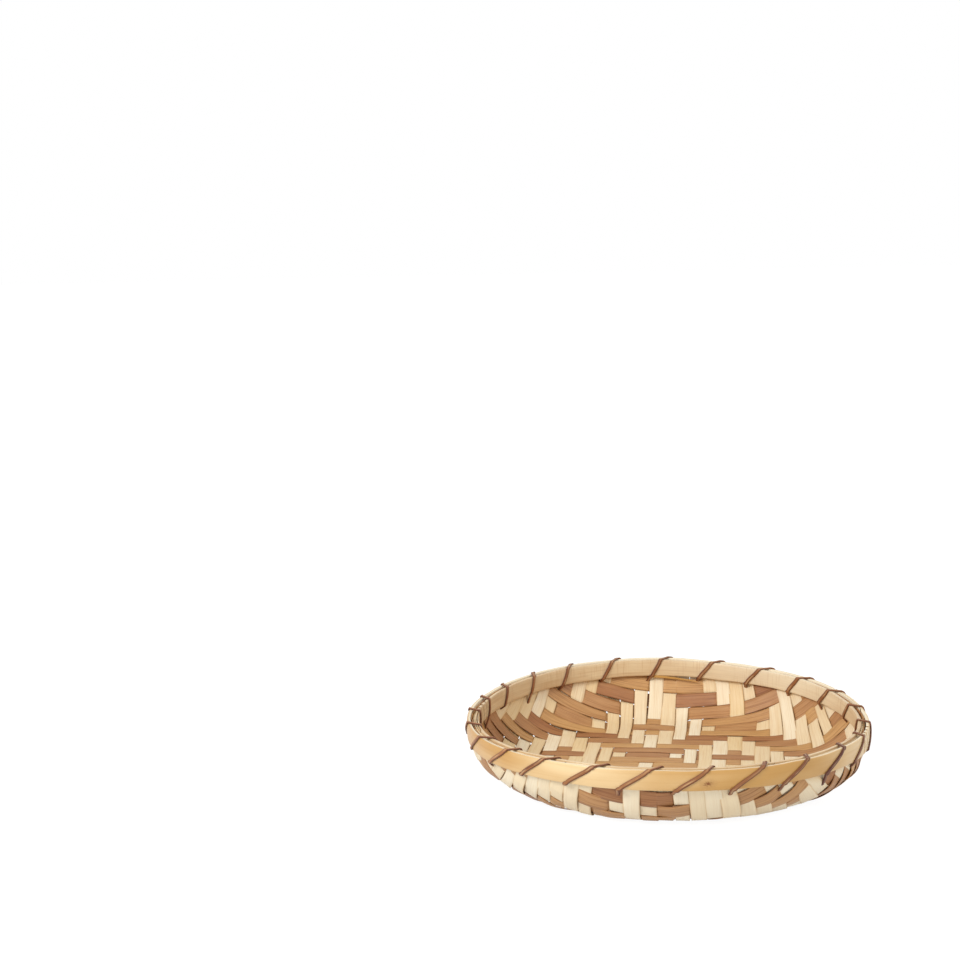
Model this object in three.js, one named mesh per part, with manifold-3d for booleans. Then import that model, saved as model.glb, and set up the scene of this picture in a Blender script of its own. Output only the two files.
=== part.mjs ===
// Shallow round basket plaited from flat bamboo splints, with a rim of two bamboo hoops bound on with cane.
// Lengths are in millimetres and +Z is up. The origin lies on the table, under the middle of the basket.
// Pale splints run from front to back and dark ones from left to right. They pass over and under each
// other in a diamond twill. The mat is dished into a bowl that keeps its length along each radius.

import * as THREE from "three";
import { mergeVertices } from "three/addons/utils/BufferGeometryUtils.js";
import Module from "manifold-3d";

// Overall sizes. The wall rises as a power of the way out from the floor, so a larger one turns up later.
const rimDiameter = 300;
const rimHeight = 45.5;
const floorDiameter = 190;
const wallFullness = 3.8;
const wallSteps = 300;

// Rim: the hoops stand on edge, with the mat and a filling strip pinched between them
const hoopHeight = 14;
const outerHoopThickness = 3;
const innerHoopThickness = 2.8;
const hoopCrown = 0.6;
const scarfLength = 50;
const scarfTip = 0.7;
const outerScarfAngle = THREE.MathUtils.degToRad(4);
const innerScarfAngle = THREE.MathUtils.degToRad(172);
const stripThickness = 1.2;
const stripSetDown = 1.5;
const stripOpening = 3;
const stripEndAngle = THREE.MathUtils.degToRad(60);
const ringSteps = 56;

// Splints. The outermost ones stop short of where the hoops pinch the mat, and every end stops below the
// top of the hoops. A run of splint with no crossing is left straight where it would bend less than allowed.
const splintThickness = 0.7;
const splintSpacing = 0.9;
const paleCount = 28;
const darkCount = 26;
const paleStopsShort = 7.5;
const darkStopsShort = 2.5;
const endSetDown = 1.5;
const matTurn = THREE.MathUtils.degToRad(8.5);
const cornerShear = 0.025;
const bendAllowed = 0.1;

// Diamond twill: pale splints show inside the bowl in a ring round each dark cross. The last rows at the
// front have smaller diamonds, with thinner rings.
const motifRepeat = 12;
const paleRingFrom = 2;
const paleRingTo = 4;
const motifColumn = -1.5;
const motifRow = 8.5;
const frontFromRow = -6;
const frontRow = -11.5;
const frontRepeat = 10;
const frontRingTo = 3;

// Cane lashing. It leans as it climbs the outside, crosses the top and goes down the inside, then comes
// out under the hoops where the next wrap starts. The corners lean a little too, where the cane turns.
const caneWidth = 3;
const caneThickness = 1.2;
const caneBevel = 0.5;
const caneBend = 1.2;
const wrapCount = 24;
const firstWrapAngle = THREE.MathUtils.degToRad(-93.4);
const outsideLean = THREE.MathUtils.degToRad(8.4);
const topLean = THREE.MathUtils.degToRad(2.5);
const insideLean = THREE.MathUtils.degToRad(3.6);
const outerCornerLean = THREE.MathUtils.degToRad(0.8);
const innerCornerLean = THREE.MathUtils.degToRad(0.32);
const crowding = THREE.MathUtils.degToRad(6);
const crowdedAt = THREE.MathUtils.degToRad(112);
const crowdedHalfSpan = THREE.MathUtils.degToRad(62);
const outsideSteps = 3;
const caneEndLift = 5;

// Clearances. A corner of a splint that lies nearer to a cutting circle than the snap counts as on it.
const cornerSnap = 0.12;
const seatGap = 0.3;
const layerGap = 0.3;
const pierceGap = 0.2;

// Places that follow from the sizes
const rimRadius = rimDiameter / 2;
const hoopBottom = rimHeight - hoopHeight;
const matHalf = splintThickness + layerGap / 2;
const levelOffset = (splintThickness + layerGap) / 2;
const matRadius = rimRadius - outerHoopThickness - seatGap - matHalf;
const stripOuterRadius = matRadius - matHalf - seatGap;
const innerHoopOuterRadius = stripOuterRadius - stripThickness - seatGap;
const rimInnerRadius = innerHoopOuterRadius - innerHoopThickness;
const floorRadius = floorDiameter / 2;
const wrapPitch = (2 * Math.PI) / wrapCount;

const wasm = await Module();
wasm.setup();

// The mat's middle surface, as a list of points along one radius with the length run so far
function radiusProfile() {
  const wallWidth = matRadius - floorRadius;
  const wallRise = hoopBottom - matHalf;
  const points = [{ run: floorRadius, radius: floorRadius, height: matHalf, slope: 0 }];
  for (let i = 1; i <= wallSteps; i++) {
    const share = i / wallSteps;
    const radius = floorRadius + wallWidth * share;
    const height = matHalf + wallRise * share ** wallFullness;
    const slope = Math.atan((wallFullness * wallRise * share ** (wallFullness - 1)) / wallWidth);
    const before = points[i - 1];
    const run = before.run + Math.hypot(radius - before.radius, height - before.height);
    points.push({ run, radius, height, slope });
  }
  return points;
}

const profile = radiusProfile();
const wallRun = profile[profile.length - 1].run;
const endRun = wallRun + hoopHeight - endSetDown;
const palePitch = (2 * (wallRun - paleStopsShort)) / paleCount;
const darkPitch = (2 * (wallRun - darkStopsShort)) / darkCount;
const paleWidth = palePitch - splintSpacing;
const darkWidth = darkPitch - splintSpacing;

function profileAt(run) {
  if (run <= floorRadius) {
    return { radius: run, height: matHalf, slope: 0 };
  }
  if (run >= wallRun) {
    return { radius: matRadius, height: hoopBottom + run - wallRun, slope: Math.PI / 2 };
  }
  const next = profile.findIndex((point) => point.run >= run);
  const low = profile[next - 1];
  const high = profile[next];
  const share = (run - low.run) / (high.run - low.run);
  return {
    radius: THREE.MathUtils.lerp(low.radius, high.radius, share),
    height: THREE.MathUtils.lerp(low.height, high.height, share),
    slope: THREE.MathUtils.lerp(low.slope, high.slope, share),
  };
}

// A point of the flat mat, with u to the right and v to the back, on the dished mat.
// A positive offset lies on the side that faces into the bowl. The splints that climb straight up the wall
// keep their spacing, so the mat closes up towards its four corners instead.
function dished(u, v, offset) {
  const run = Math.hypot(u, v);
  const { radius, height, slope } = profileAt(run);
  const flat = Math.atan2(v, u);
  const climbed = THREE.MathUtils.smoothstep(run, floorRadius, wallRun);
  const angle = flat + cornerShear * climbed * Math.sin(4 * flat) - matTurn;
  const reach = radius - offset * Math.sin(slope);
  return new THREE.Vector3(
    reach * Math.cos(angle),
    reach * Math.sin(angle),
    height + offset * Math.cos(slope),
  );
}

// Steps along columns and rows to the nearest motif centre. The centres stand half a repeat apart.
function motifDistance(column, row, repeat) {
  const half = repeat / 2;
  const away = (value) => Math.abs(THREE.MathUtils.euclideanModulo(value + half, repeat) - half);
  const fromCorner = away(column) + away(row);
  const fromMiddle = away(column - half) + away(row - half);
  return Math.min(fromCorner, fromMiddle);
}

function paleIsInside(column, row) {
  const across = column - motifColumn;
  if (row < frontFromRow) {
    const distance = motifDistance(across, row - frontRow, frontRepeat);
    return distance >= paleRingFrom && distance <= frontRingTo;
  }
  const distance = motifDistance(across, row - motifRow, motifRepeat);
  return distance >= paleRingFrom && distance <= paleRingTo;
}

function closedGeometry(positions, index) {
  const geometry = new THREE.BufferGeometry();
  geometry.setAttribute("position", new THREE.Float32BufferAttribute(positions, 3));
  geometry.setIndex(index);
  geometry.computeVertexNormals();
  return geometry;
}

// Where an edge that runs along u or along v meets a circle round the middle of the mat
function circleCrossing(a, b, radius) {
  const alongV = a.u === b.u;
  const fixed = alongV ? a.u : a.v;
  const low = alongV ? Math.min(a.v, b.v) : Math.min(a.u, b.u);
  const high = alongV ? Math.max(a.v, b.v) : Math.max(a.u, b.u);
  const root = Math.sqrt(radius ** 2 - fixed ** 2);
  const found = root >= low && root <= high ? root : -root;
  return alongV ? { u: fixed, v: found } : { u: found, v: fixed };
}

// Parts a convex piece of the flat mat along a circle
function partByCircle(corners, radius) {
  const side = corners.map(({ u, v }) => {
    const past = Math.hypot(u, v) - radius;
    return Math.abs(past) < cornerSnap ? 0 : Math.sign(past);
  });
  const inside = [];
  const outside = [];
  corners.forEach((corner, i) => {
    const j = (i + 1) % corners.length;
    if (side[i] <= 0) inside.push(corner);
    if (side[i] >= 0) outside.push(corner);
    if (side[i] * side[j] < 0) {
      const met = circleCrossing(corner, corners[j], radius);
      inside.push(met);
      outside.push(met);
    }
  });
  return {
    inside: side.some((s) => s < 0) ? inside : [],
    outside: side.some((s) => s > 0) ? outside : [],
  };
}

// Triangles of a convex piece. A whole cell folds along the diagonal that runs round the bowl.
function fanned(corners) {
  let start = 0;
  if (corners.length === 4) {
    const u = corners.reduce((sum, corner) => sum + corner.u, 0);
    const v = corners.reduce((sum, corner) => sum + corner.v, 0);
    const reach = corners.map((corner) => corner.u + corner.v);
    const lowest = reach.indexOf(Math.min(...reach));
    start = u * v > 0 ? lowest + 1 : lowest;
  }
  const at = (i) => corners[(start + i) % corners.length];
  const triangles = [];
  for (let i = 1; i + 1 < corners.length; i++) {
    triangles.push([at(0), at(i), at(i + 1)]);
  }
  return triangles;
}

// One splint. Its middle line lies at `across`, and `crossings` gives where it meets each splint of the
// other set, in order, with the level that it has there. It bends only between neighbouring crossings.
function splintGeometry(across, width, crossings, crossingWidth, runsAlongV) {
  const onBowl = (along) => (runsAlongV ? dished(across, along, 0) : dished(along, across, 0));
  const bendBetween = (from, middle, to) => {
    const share = (middle - from) / (to - from);
    return onBowl(from).lerp(onBowl(to), share).distanceTo(onBowl(middle));
  };
  const first = crossings[0];
  const last = crossings[crossings.length - 1];
  const stations = [
    { along: -endRun - hoopHeight, level: first.level },
    { along: first.along - crossingWidth / 2, level: first.level },
  ];
  crossings.slice(0, -1).forEach((here, i) => {
    const next = crossings[i + 1];
    const middle = (here.along + next.along) / 2;
    const ahead = next.along + (next.along - here.along) / 2;
    const behind = stations[stations.length - 1].along;
    if (here.level !== next.level) {
      stations.push({ along: here.along + crossingWidth / 2, level: here.level });
      stations.push({ along: next.along - crossingWidth / 2, level: next.level });
    } else if (bendBetween(behind, middle, ahead) > bendAllowed) {
      stations.push({ along: middle, level: here.level });
    }
  });
  stations.push({ along: last.along + crossingWidth / 2, level: last.level });
  stations.push({ along: endRun + hoopHeight, level: last.level });

  const points = [];
  const numbers = new Map();
  const faces = [];
  const numberOf = ({ u, v }, level) => {
    const key = u.toFixed(3) + " " + v.toFixed(3);
    if (!numbers.has(key)) {
      numbers.set(key, points.length);
      points.push({ u, v, level });
    }
    return numbers.get(key);
  };
  for (let i = 0; i + 1 < stations.length; i++) {
    const from = stations[i];
    const to = stations[i + 1];
    const corner = (side, along) => {
      const edge = across + (side * width) / 2;
      return runsAlongV ? { u: edge, v: along } : { u: along, v: edge };
    };
    const cell = [corner(-1, from.along), corner(1, from.along), corner(1, to.along), corner(-1, to.along)];
    if (!runsAlongV) cell.reverse();
    const levelAt = (point) => {
      const along = runsAlongV ? point.v : point.u;
      return THREE.MathUtils.mapLinear(along, from.along, to.along, from.level, to.level);
    };
    const kept = partByCircle(cell, endRun).inside;
    if (kept.length < 3) continue;
    const parted = partByCircle(kept, wallRun);
    [parted.inside, parted.outside].filter((piece) => piece.length > 2).forEach((piece) => {
      fanned(piece).forEach((triangle) => faces.push(triangle.map((p) => numberOf(p, levelAt(p)))));
    });
  }
  return thickened(points, faces);
}

// A solid sheet from a flat mesh: an inner face, an outer face and a wall round the free edge
function thickened(points, faces) {
  const positions = [];
  for (const half of [splintThickness / 2, -splintThickness / 2]) {
    points.forEach(({ u, v, level }) => positions.push(...dished(u, v, level + half).toArray()));
  }
  const count = points.length;
  const edges = new Map();
  const index = [];
  faces.forEach(([a, b, c]) => {
    index.push(a, b, c, a + count, c + count, b + count);
    [[a, b], [b, c], [c, a]].forEach(([from, to]) => edges.set(from + ">" + to, [from, to]));
  });
  edges.forEach(([from, to]) => {
    if (edges.has(to + ">" + from)) return;
    index.push(from + count, to + count, from, to + count, to, from);
  });
  return closedGeometry(positions, index);
}

// A solid lofted through rings of points. Each ring turns right-handed about the way the loft runs.
function lofted(rings) {
  const sides = rings[0].length;
  const positions = rings.flat().flatMap((point) => point.toArray());
  const index = [];
  for (let i = 0; i + 1 < rings.length; i++) {
    for (let j = 0; j < sides; j++) {
      const a = i * sides + j;
      const b = i * sides + ((j + 1) % sides);
      index.push(a, b, b + sides, a, b + sides, a + sides);
    }
  }
  const last = (rings.length - 1) * sides;
  for (let j = 1; j + 1 < sides; j++) {
    index.push(0, j + 1, j, last, last + j, last + j + 1);
  }
  return closedGeometry(positions, index);
}

function around(angle, radius, height) {
  return new THREE.Vector3(radius * Math.cos(angle), radius * Math.sin(angle), height);
}

// One long strip bent into a hoop, with a face that swells at mid height. Its first end is shaved away
// outside and its last end inside, so that the two ends lap in a scarf as thick as the strip itself.
function hoopGeometry(innerRadius, thickness, startAngle, skinOutside) {
  const scarf = scarfLength / innerRadius;
  const shoulder = seatGap / innerRadius;
  const turn = 2 * Math.PI;
  const between = thickness - 2 * scarfTip - seatGap;
  const lap = (travel) => scarfTip + (between * travel) / scarf;
  const firstEnd = (travel) => ({ travel, inner: 0, outer: lap(travel) });
  const lastEnd = (travel) => ({ travel: turn + travel, inner: lap(travel) + seatGap, outer: thickness });
  const lapSteps = 5;
  const bodySteps = ringSteps - lapSteps;
  const stations = [];
  for (let i = 0; i <= lapSteps; i++) {
    stations.push(firstEnd((scarf * i) / lapSteps));
  }
  const bodyFrom = scarf + shoulder;
  const bodyTo = turn - shoulder;
  for (let i = 0; i <= bodySteps; i++) {
    stations.push({ travel: bodyFrom + ((bodyTo - bodyFrom) * i) / bodySteps, inner: 0, outer: thickness });
  }
  for (let i = 0; i <= lapSteps; i++) {
    stations.push(lastEnd((scarf * i) / lapSteps));
  }
  const rings = stations.map(({ travel, inner, outer }) => {
    const angle = startAngle + travel;
    const crown = Math.min(hoopCrown, (outer - inner) / 2);
    const low = innerRadius + inner;
    const high = innerRadius + outer;
    const middle = hoopHeight / 2;
    const section = skinOutside
      ? [[low, 0], [low, hoopHeight], [high - crown, hoopHeight], [high, middle], [high - crown, 0]]
      : [[low + crown, 0], [low, middle], [low + crown, hoopHeight], [high, hoopHeight], [high, 0]];
    return section.map(([radius, height]) => around(angle, radius, hoopBottom + height));
  });
  return lofted(rings);
}

// A plain strip that fills the rim between the mat and the inner hoop. Its ends stop short of each other.
function fillingStripGeometry() {
  const opening = stripOpening / stripOuterRadius;
  const inner = stripOuterRadius - stripThickness;
  const low = hoopBottom + stripSetDown;
  const high = rimHeight - stripSetDown;
  const rings = [];
  for (let i = 0; i <= ringSteps; i++) {
    const angle = stripEndAngle + opening / 2 + ((2 * Math.PI - opening) * i) / ringSteps;
    rings.push([
      around(angle, inner, low),
      around(angle, inner, high),
      around(angle, stripOuterRadius, high),
      around(angle, stripOuterRadius, low),
    ]);
  }
  return lofted(rings);
}

// Where wrap number n starts, at the foot of the outer hoop. The wraps bunch a little at one place.
function wrapAngle(n) {
  const even = firstWrapAngle + n * wrapPitch;
  const past = (even - crowdedAt) / crowdedHalfSpan;
  return Math.abs(past) < 1 ? even + crowding * Math.cos((past * Math.PI) / 2) ** 2 : even;
}

// The cane's middle line round the rim: up the outside, over the top, down the inside and out underneath
function lashingPath() {
  const stand = seatGap + caneThickness / 2;
  const outerRadius = rimRadius + stand - caneBend;
  const innerRadius = rimInnerRadius - stand + caneBend;
  const top = rimHeight + stand - caneBend;
  const foot = hoopBottom - stand + caneBend;
  const quarter = Math.PI / 2;
  const acrossLean = outsideLean + topLean;
  const wholeLean = acrossLean + insideLean;
  const corners = [
    { radius: outerRadius, height: foot, from: -quarter, lean: 0, before: 0, after: outerCornerLean },
    { radius: outerRadius, height: top, from: 0, lean: outsideLean, before: outerCornerLean, after: 0 },
    { radius: innerRadius, height: top, from: quarter, lean: acrossLean, before: 0, after: innerCornerLean },
    { radius: innerRadius, height: foot, from: Math.PI, lean: wholeLean, before: innerCornerLean, after: 0 },
  ];
  const path = [];
  for (let n = 0; n < wrapCount; n++) {
    const start = wrapAngle(n);
    corners.forEach((corner, k) => {
      for (let i = 0; i <= 2; i++) {
        const turned = corner.from + (i * quarter) / 2;
        const slide = i === 0 ? -corner.before : i === 2 ? corner.after : 0;
        path.push({
          angle: start + corner.lean + slide,
          radius: corner.radius + caneBend * Math.cos(turned),
          height: corner.height + caneBend * Math.sin(turned),
          facing: turned,
        });
      }
      if (k === 0) {
        const from = path[path.length - 1];
        const toAngle = start + outsideLean - outerCornerLean;
        for (let i = 1; i < outsideSteps; i++) {
          path.push({
            angle: THREE.MathUtils.lerp(from.angle, toAngle, i / outsideSteps),
            radius: from.radius,
            height: THREE.MathUtils.lerp(from.height, top, i / outsideSteps),
            facing: 0,
          });
        }
      }
    });
  }
  return path;
}

// The first end starts inside the rim, under the inner hoop. The last end stops on the inner hoop's face.
function lashingPoints() {
  const path = lashingPath();
  const first = path[0];
  const stand = seatGap + caneThickness / 2;
  const startRadius = rimInnerRadius - stand + caneBend;
  const start = { ...first, radius: startRadius, angle: first.angle - insideLean / 4 };
  const last = path[path.length - 3];
  const end = { ...last, height: hoopBottom + caneEndLift };
  return [start, ...path.slice(0, -3), end];
}

const lashingRoute = lashingPoints();
const lashingLine = lashingRoute.map(({ angle, radius, height }) => around(angle, radius, height));

function lashingGeometry() {
  const half = caneThickness / 2;
  const side = caneWidth / 2;
  const bevelled = side - caneBevel;
  const section = [[half, bevelled], [-half, side], [-half, -side], [half, -bevelled]];
  const rings = lashingLine.map((point, i) => {
    const before = lashingLine[Math.max(i - 1, 0)];
    const after = lashingLine[Math.min(i + 1, lashingLine.length - 1)];
    const along = after.clone().sub(before).normalize();
    const { angle, facing } = lashingRoute[i];
    const outwards = new THREE.Vector3(
      Math.cos(facing) * Math.cos(angle),
      Math.cos(facing) * Math.sin(angle),
      Math.sin(facing),
    );
    outwards.addScaledVector(along, -outwards.dot(along)).normalize();
    const sideways = along.clone().cross(outwards);
    return section.map(([out, over]) =>
      point.clone().addScaledVector(outwards, out).addScaledVector(sideways, over),
    );
  });
  return lofted(rings);
}

// Least clear distance from the cane to itself, over points more than half a wrap apart
function lashingSelfGap() {
  const stepsPerWrap = (lashingLine.length - 1) / wrapCount;
  let least = Infinity;
  lashingLine.forEach((point, i) => {
    for (let j = i + Math.ceil(stepsPerWrap / 2); j < lashingLine.length; j++) {
      least = Math.min(least, point.distanceTo(lashingLine[j]));
    }
  });
  return least - caneWidth;
}

// Slots for the cane where it passes out through the mat, under the hoops
function pierceCutters() {
  const cutters = [];
  const stand = seatGap + caneThickness / 2;
  const height = hoopBottom - stand;
  for (let n = 0; n < wrapCount; n++) {
    const outAngle = wrapAngle(n);
    const inAngle = n === 0 ? lashingRoute[0].angle : wrapAngle(n - 1) + outsideLean + topLean + insideLean;
    const outer = around(outAngle, rimRadius + stand - caneBend, height);
    const inner = around(inAngle, rimInnerRadius - stand + caneBend, height);
    const along = outer.clone().sub(inner).normalize();
    const up = new THREE.Vector3(0, 0, 1);
    const frame = new THREE.Matrix4().makeBasis(along, up.clone().cross(along), up);
    frame.setPosition(outer.add(inner).multiplyScalar(0.5));
    const through = new THREE.BoxGeometry(
      rimRadius - rimInnerRadius,
      caneWidth + 2 * pierceGap,
      caneThickness + 2 * pierceGap,
    );
    cutters.push(through.applyMatrix4(frame));
  }
  return cutters;
}

function asSolid(geometry) {
  const bare = geometry.clone();
  bare.deleteAttribute("normal");
  bare.deleteAttribute("uv");
  const merged = mergeVertices(bare, 1e-4);
  return new wasm.Manifold(
    new wasm.Mesh({
      numProp: 3,
      vertProperties: merged.attributes.position.array,
      triVerts: new Uint32Array(merged.index.array),
    }),
  );
}

const pierced = pierceCutters().map((geometry) => {
  geometry.computeBoundingBox();
  return { box: geometry.boundingBox, solid: asSolid(geometry) };
});

function withSlots(geometry) {
  geometry.computeBoundingBox();
  const near = pierced.filter(({ box }) => box.intersectsBox(geometry.boundingBox));
  if (!near.length) return geometry;
  const cut = near.reduce((solid, cutter) => solid.subtract(cutter.solid), asSolid(geometry));
  const mesh = cut.getMesh();
  return closedGeometry(Array.from(mesh.vertProperties), Array.from(mesh.triVerts));
}

// A splint's own shade, a little lighter or darker than its neighbours
function shaded(color, n) {
  const wave = Math.sin(n * 2.4) * 0.5 + Math.sin(n * 5.1) * 0.5;
  return new THREE.Color(color).offsetHSL(0, 0, wave * 0.03);
}

function bamboo(color, roughness) {
  return new THREE.MeshStandardMaterial({ color, roughness, metalness: 0 });
}

const basket = new THREE.Group();

function addPiece(name, geometry, material) {
  const mesh = new THREE.Mesh(geometry, material);
  mesh.name = name;
  basket.add(mesh);
}

function numbered(name, n) {
  return name + "_" + String(n + 1).padStart(2, "0");
}

const columns = Array.from({ length: paleCount }, (_, n) => n - (paleCount - 1) / 2);
const rows = Array.from({ length: darkCount }, (_, n) => n - (darkCount - 1) / 2);

function addPaleSplints() {
  columns.forEach((column, n) => {
    const crossings = rows.map((row) => ({
      along: row * darkPitch,
      level: paleIsInside(column, row) ? levelOffset : -levelOffset,
    }));
    const geometry = splintGeometry(column * palePitch, paleWidth, crossings, darkWidth, true);
    addPiece(numbered("pale_splint", n), withSlots(geometry), bamboo(shaded(0xdfc48f, n), 0.6));
  });
}

function addDarkSplints() {
  rows.forEach((row, n) => {
    const crossings = columns.map((column) => ({
      along: column * palePitch,
      level: paleIsInside(column, row) ? -levelOffset : levelOffset,
    }));
    const geometry = splintGeometry(row * darkPitch, darkWidth, crossings, paleWidth, false);
    addPiece(numbered("dark_splint", n), withSlots(geometry), bamboo(shaded(0xa8754a, n), 0.6));
  });
}

function addRim() {
  const outerHoopInner = rimRadius - outerHoopThickness;
  const outerHoop = hoopGeometry(outerHoopInner, outerHoopThickness, outerScarfAngle, true);
  const innerHoop = hoopGeometry(rimInnerRadius, innerHoopThickness, innerScarfAngle, false);
  addPiece("outer_hoop", outerHoop, bamboo(0xe3b868, 0.4));
  addPiece("inner_hoop", innerHoop, bamboo(0xd9b27c, 0.55));
  addPiece("filling_strip", fillingStripGeometry(), bamboo(0xd8b988, 0.6));
  addPiece("cane_lashing", lashingGeometry(), bamboo(0x8a5432, 0.5));
}

addPaleSplints();
addDarkSplints();
addRim();

// The wraps stand proud of the hoop unevenly, so the basket is set by the middle of its own outline
const outline = new THREE.Box3().setFromObject(basket);
basket.position.x = -(outline.min.x + outline.max.x) / 2;
basket.position.y = -(outline.min.y + outline.max.y) / 2;

console.log("least gap of the lashing to itself: " + lashingSelfGap().toFixed(2) + " mm");

export default basket;
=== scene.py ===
import bisect
import math
import random

import bmesh
import bpy
from bpy.props import FloatProperty, FloatVectorProperty, IntProperty, PointerProperty
from mathutils import Matrix, Vector, noise


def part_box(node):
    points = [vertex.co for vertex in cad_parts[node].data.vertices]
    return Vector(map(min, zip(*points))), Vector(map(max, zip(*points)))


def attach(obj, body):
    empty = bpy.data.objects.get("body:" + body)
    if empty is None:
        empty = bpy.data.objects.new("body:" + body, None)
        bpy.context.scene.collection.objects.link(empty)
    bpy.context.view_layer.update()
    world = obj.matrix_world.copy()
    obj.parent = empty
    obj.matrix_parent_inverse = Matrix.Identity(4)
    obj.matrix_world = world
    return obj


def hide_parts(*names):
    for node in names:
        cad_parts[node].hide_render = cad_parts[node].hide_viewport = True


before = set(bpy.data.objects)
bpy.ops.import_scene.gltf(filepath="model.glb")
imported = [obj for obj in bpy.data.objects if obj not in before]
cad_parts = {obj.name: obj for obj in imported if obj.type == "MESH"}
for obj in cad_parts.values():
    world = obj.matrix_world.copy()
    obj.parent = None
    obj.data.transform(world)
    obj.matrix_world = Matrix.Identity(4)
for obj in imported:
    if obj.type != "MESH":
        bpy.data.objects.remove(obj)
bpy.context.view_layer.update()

bl_info = {
    "name": "Woven Bamboo Basket",
    "version": (1, 0, 0),
    "blender": (4, 5, 0),
    "location": "3D View > Sidebar > Basket",
    "description": "Plaits a shallow bamboo basket, binds its rim with cane and stands it in a pale studio",
    "category": "Object",
}

BODY = "root"
FIBRES = "fibres"
TONE = "tone"
GOLD = "gold"
SKIN = "skin"
EDGE = "edge"
CUT = "cut"


def paint(red, green, blue):
    """A colour picked on the screen, from 0 to 255, as the linear colour that a shader takes."""

    def linear(value):
        share = value / 255
        return share / 12.92 if share <= 0.04045 else ((share + 0.055) / 1.055) ** 2.4

    return linear(red), linear(green), linear(blue)


def smooth(share):
    """From 0 to 1 with a level start and end."""
    share = min(1.0, max(0.0, share))
    return share * share * (3 - 2 * share)


def mix(low, high, share):
    return low + (high - low) * share


def ripple(place, seed, lane=0.0):
    """Smooth noise from about -1 to 1 along a line."""
    return 2 * noise.noise(Vector((place, seed, lane)))


def frame_span(node):
    """Radius of a round CAD node and the heights of its foot and top."""
    low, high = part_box(node)
    return (high.x - low.x) / 2, low.z, high.z


RIM_RADIUS, HOOP_FOOT, HOOP_TOP = frame_span("outer_hoop")
INNER_HOOP_RADIUS = frame_span("inner_hoop")[0]
STRIP_RADIUS, STRIP_FOOT, STRIP_TOP = frame_span("filling_strip")
CENTRE = sum(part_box("outer_hoop"), Vector()) / 2

# Peaks round the rim, each as its height, its direction and its spread in degrees
DIPS = ((1.0, -6, 36),)
BELLIES = ((1.0, -38, 30), (0.8, 178, 26), (0.3, 62, 28))
# Where the inner hoop's split face is painted paler: painted light and highlight from the key lamp, at the
# back right
LAMPLIT_STRETCH = ((1.0, 44, 32),)
# How dark the cane is painted round the rim: painted shade at the front right, painted light at the front
# left where the key lamp falls, and a little darker at the back
CANE_LIGHT_AND_SHADE = ((0.7, -38, 40), (-0.35, -125, 36), (0.2, 80, 60))

# How far back the cane starts, as a share of its lean inside, and the power that draws its slits up
FIRST_LEAN = 0.3
HIGH_SLITS = 1.3

# Steps of the cane between the corners of one wrap: slit, foot, top, top, foot and slit
CANE_RUNS = (5, 12, 6, 12, 5)

# Waves round the rim's whole circle, and where in the noise each of them is taken
ROUND_WAVES = (1.4, 2.0)
HEIGHT_WAVES = (1.7, 9.0)
CANE_WAVES = (5, 4.0)

# Tints of the darker lines between the fibres; the pale and dark tints also colour the painted shade along
# each splint's edges
PALE_DEPTH = (0.80, 0.64, 0.46)
DARK_DEPTH = (0.64, 0.51, 0.38)
SKIN_DEPTH = (0.80, 0.68, 0.50)
SPLIT_DEPTH = (0.80, 0.70, 0.55)


def a_length(name, description, metres):
    """A length that a user can set. The next four do the same for other kinds of value."""
    return FloatProperty(name=name, description=description, default=metres, unit="LENGTH")


def an_angle(name, description, degrees):
    return FloatProperty(name=name, description=description, default=math.radians(degrees), subtype="ANGLE")


def a_number(name, description, default):
    return FloatProperty(name=name, description=description, default=default)


def a_count(name, description, default):
    return IntProperty(name=name, description=description, default=default)


def a_colour(name, description, *screen):
    return FloatVectorProperty(name=name, description=description, default=paint(*screen), subtype="COLOR")


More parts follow.
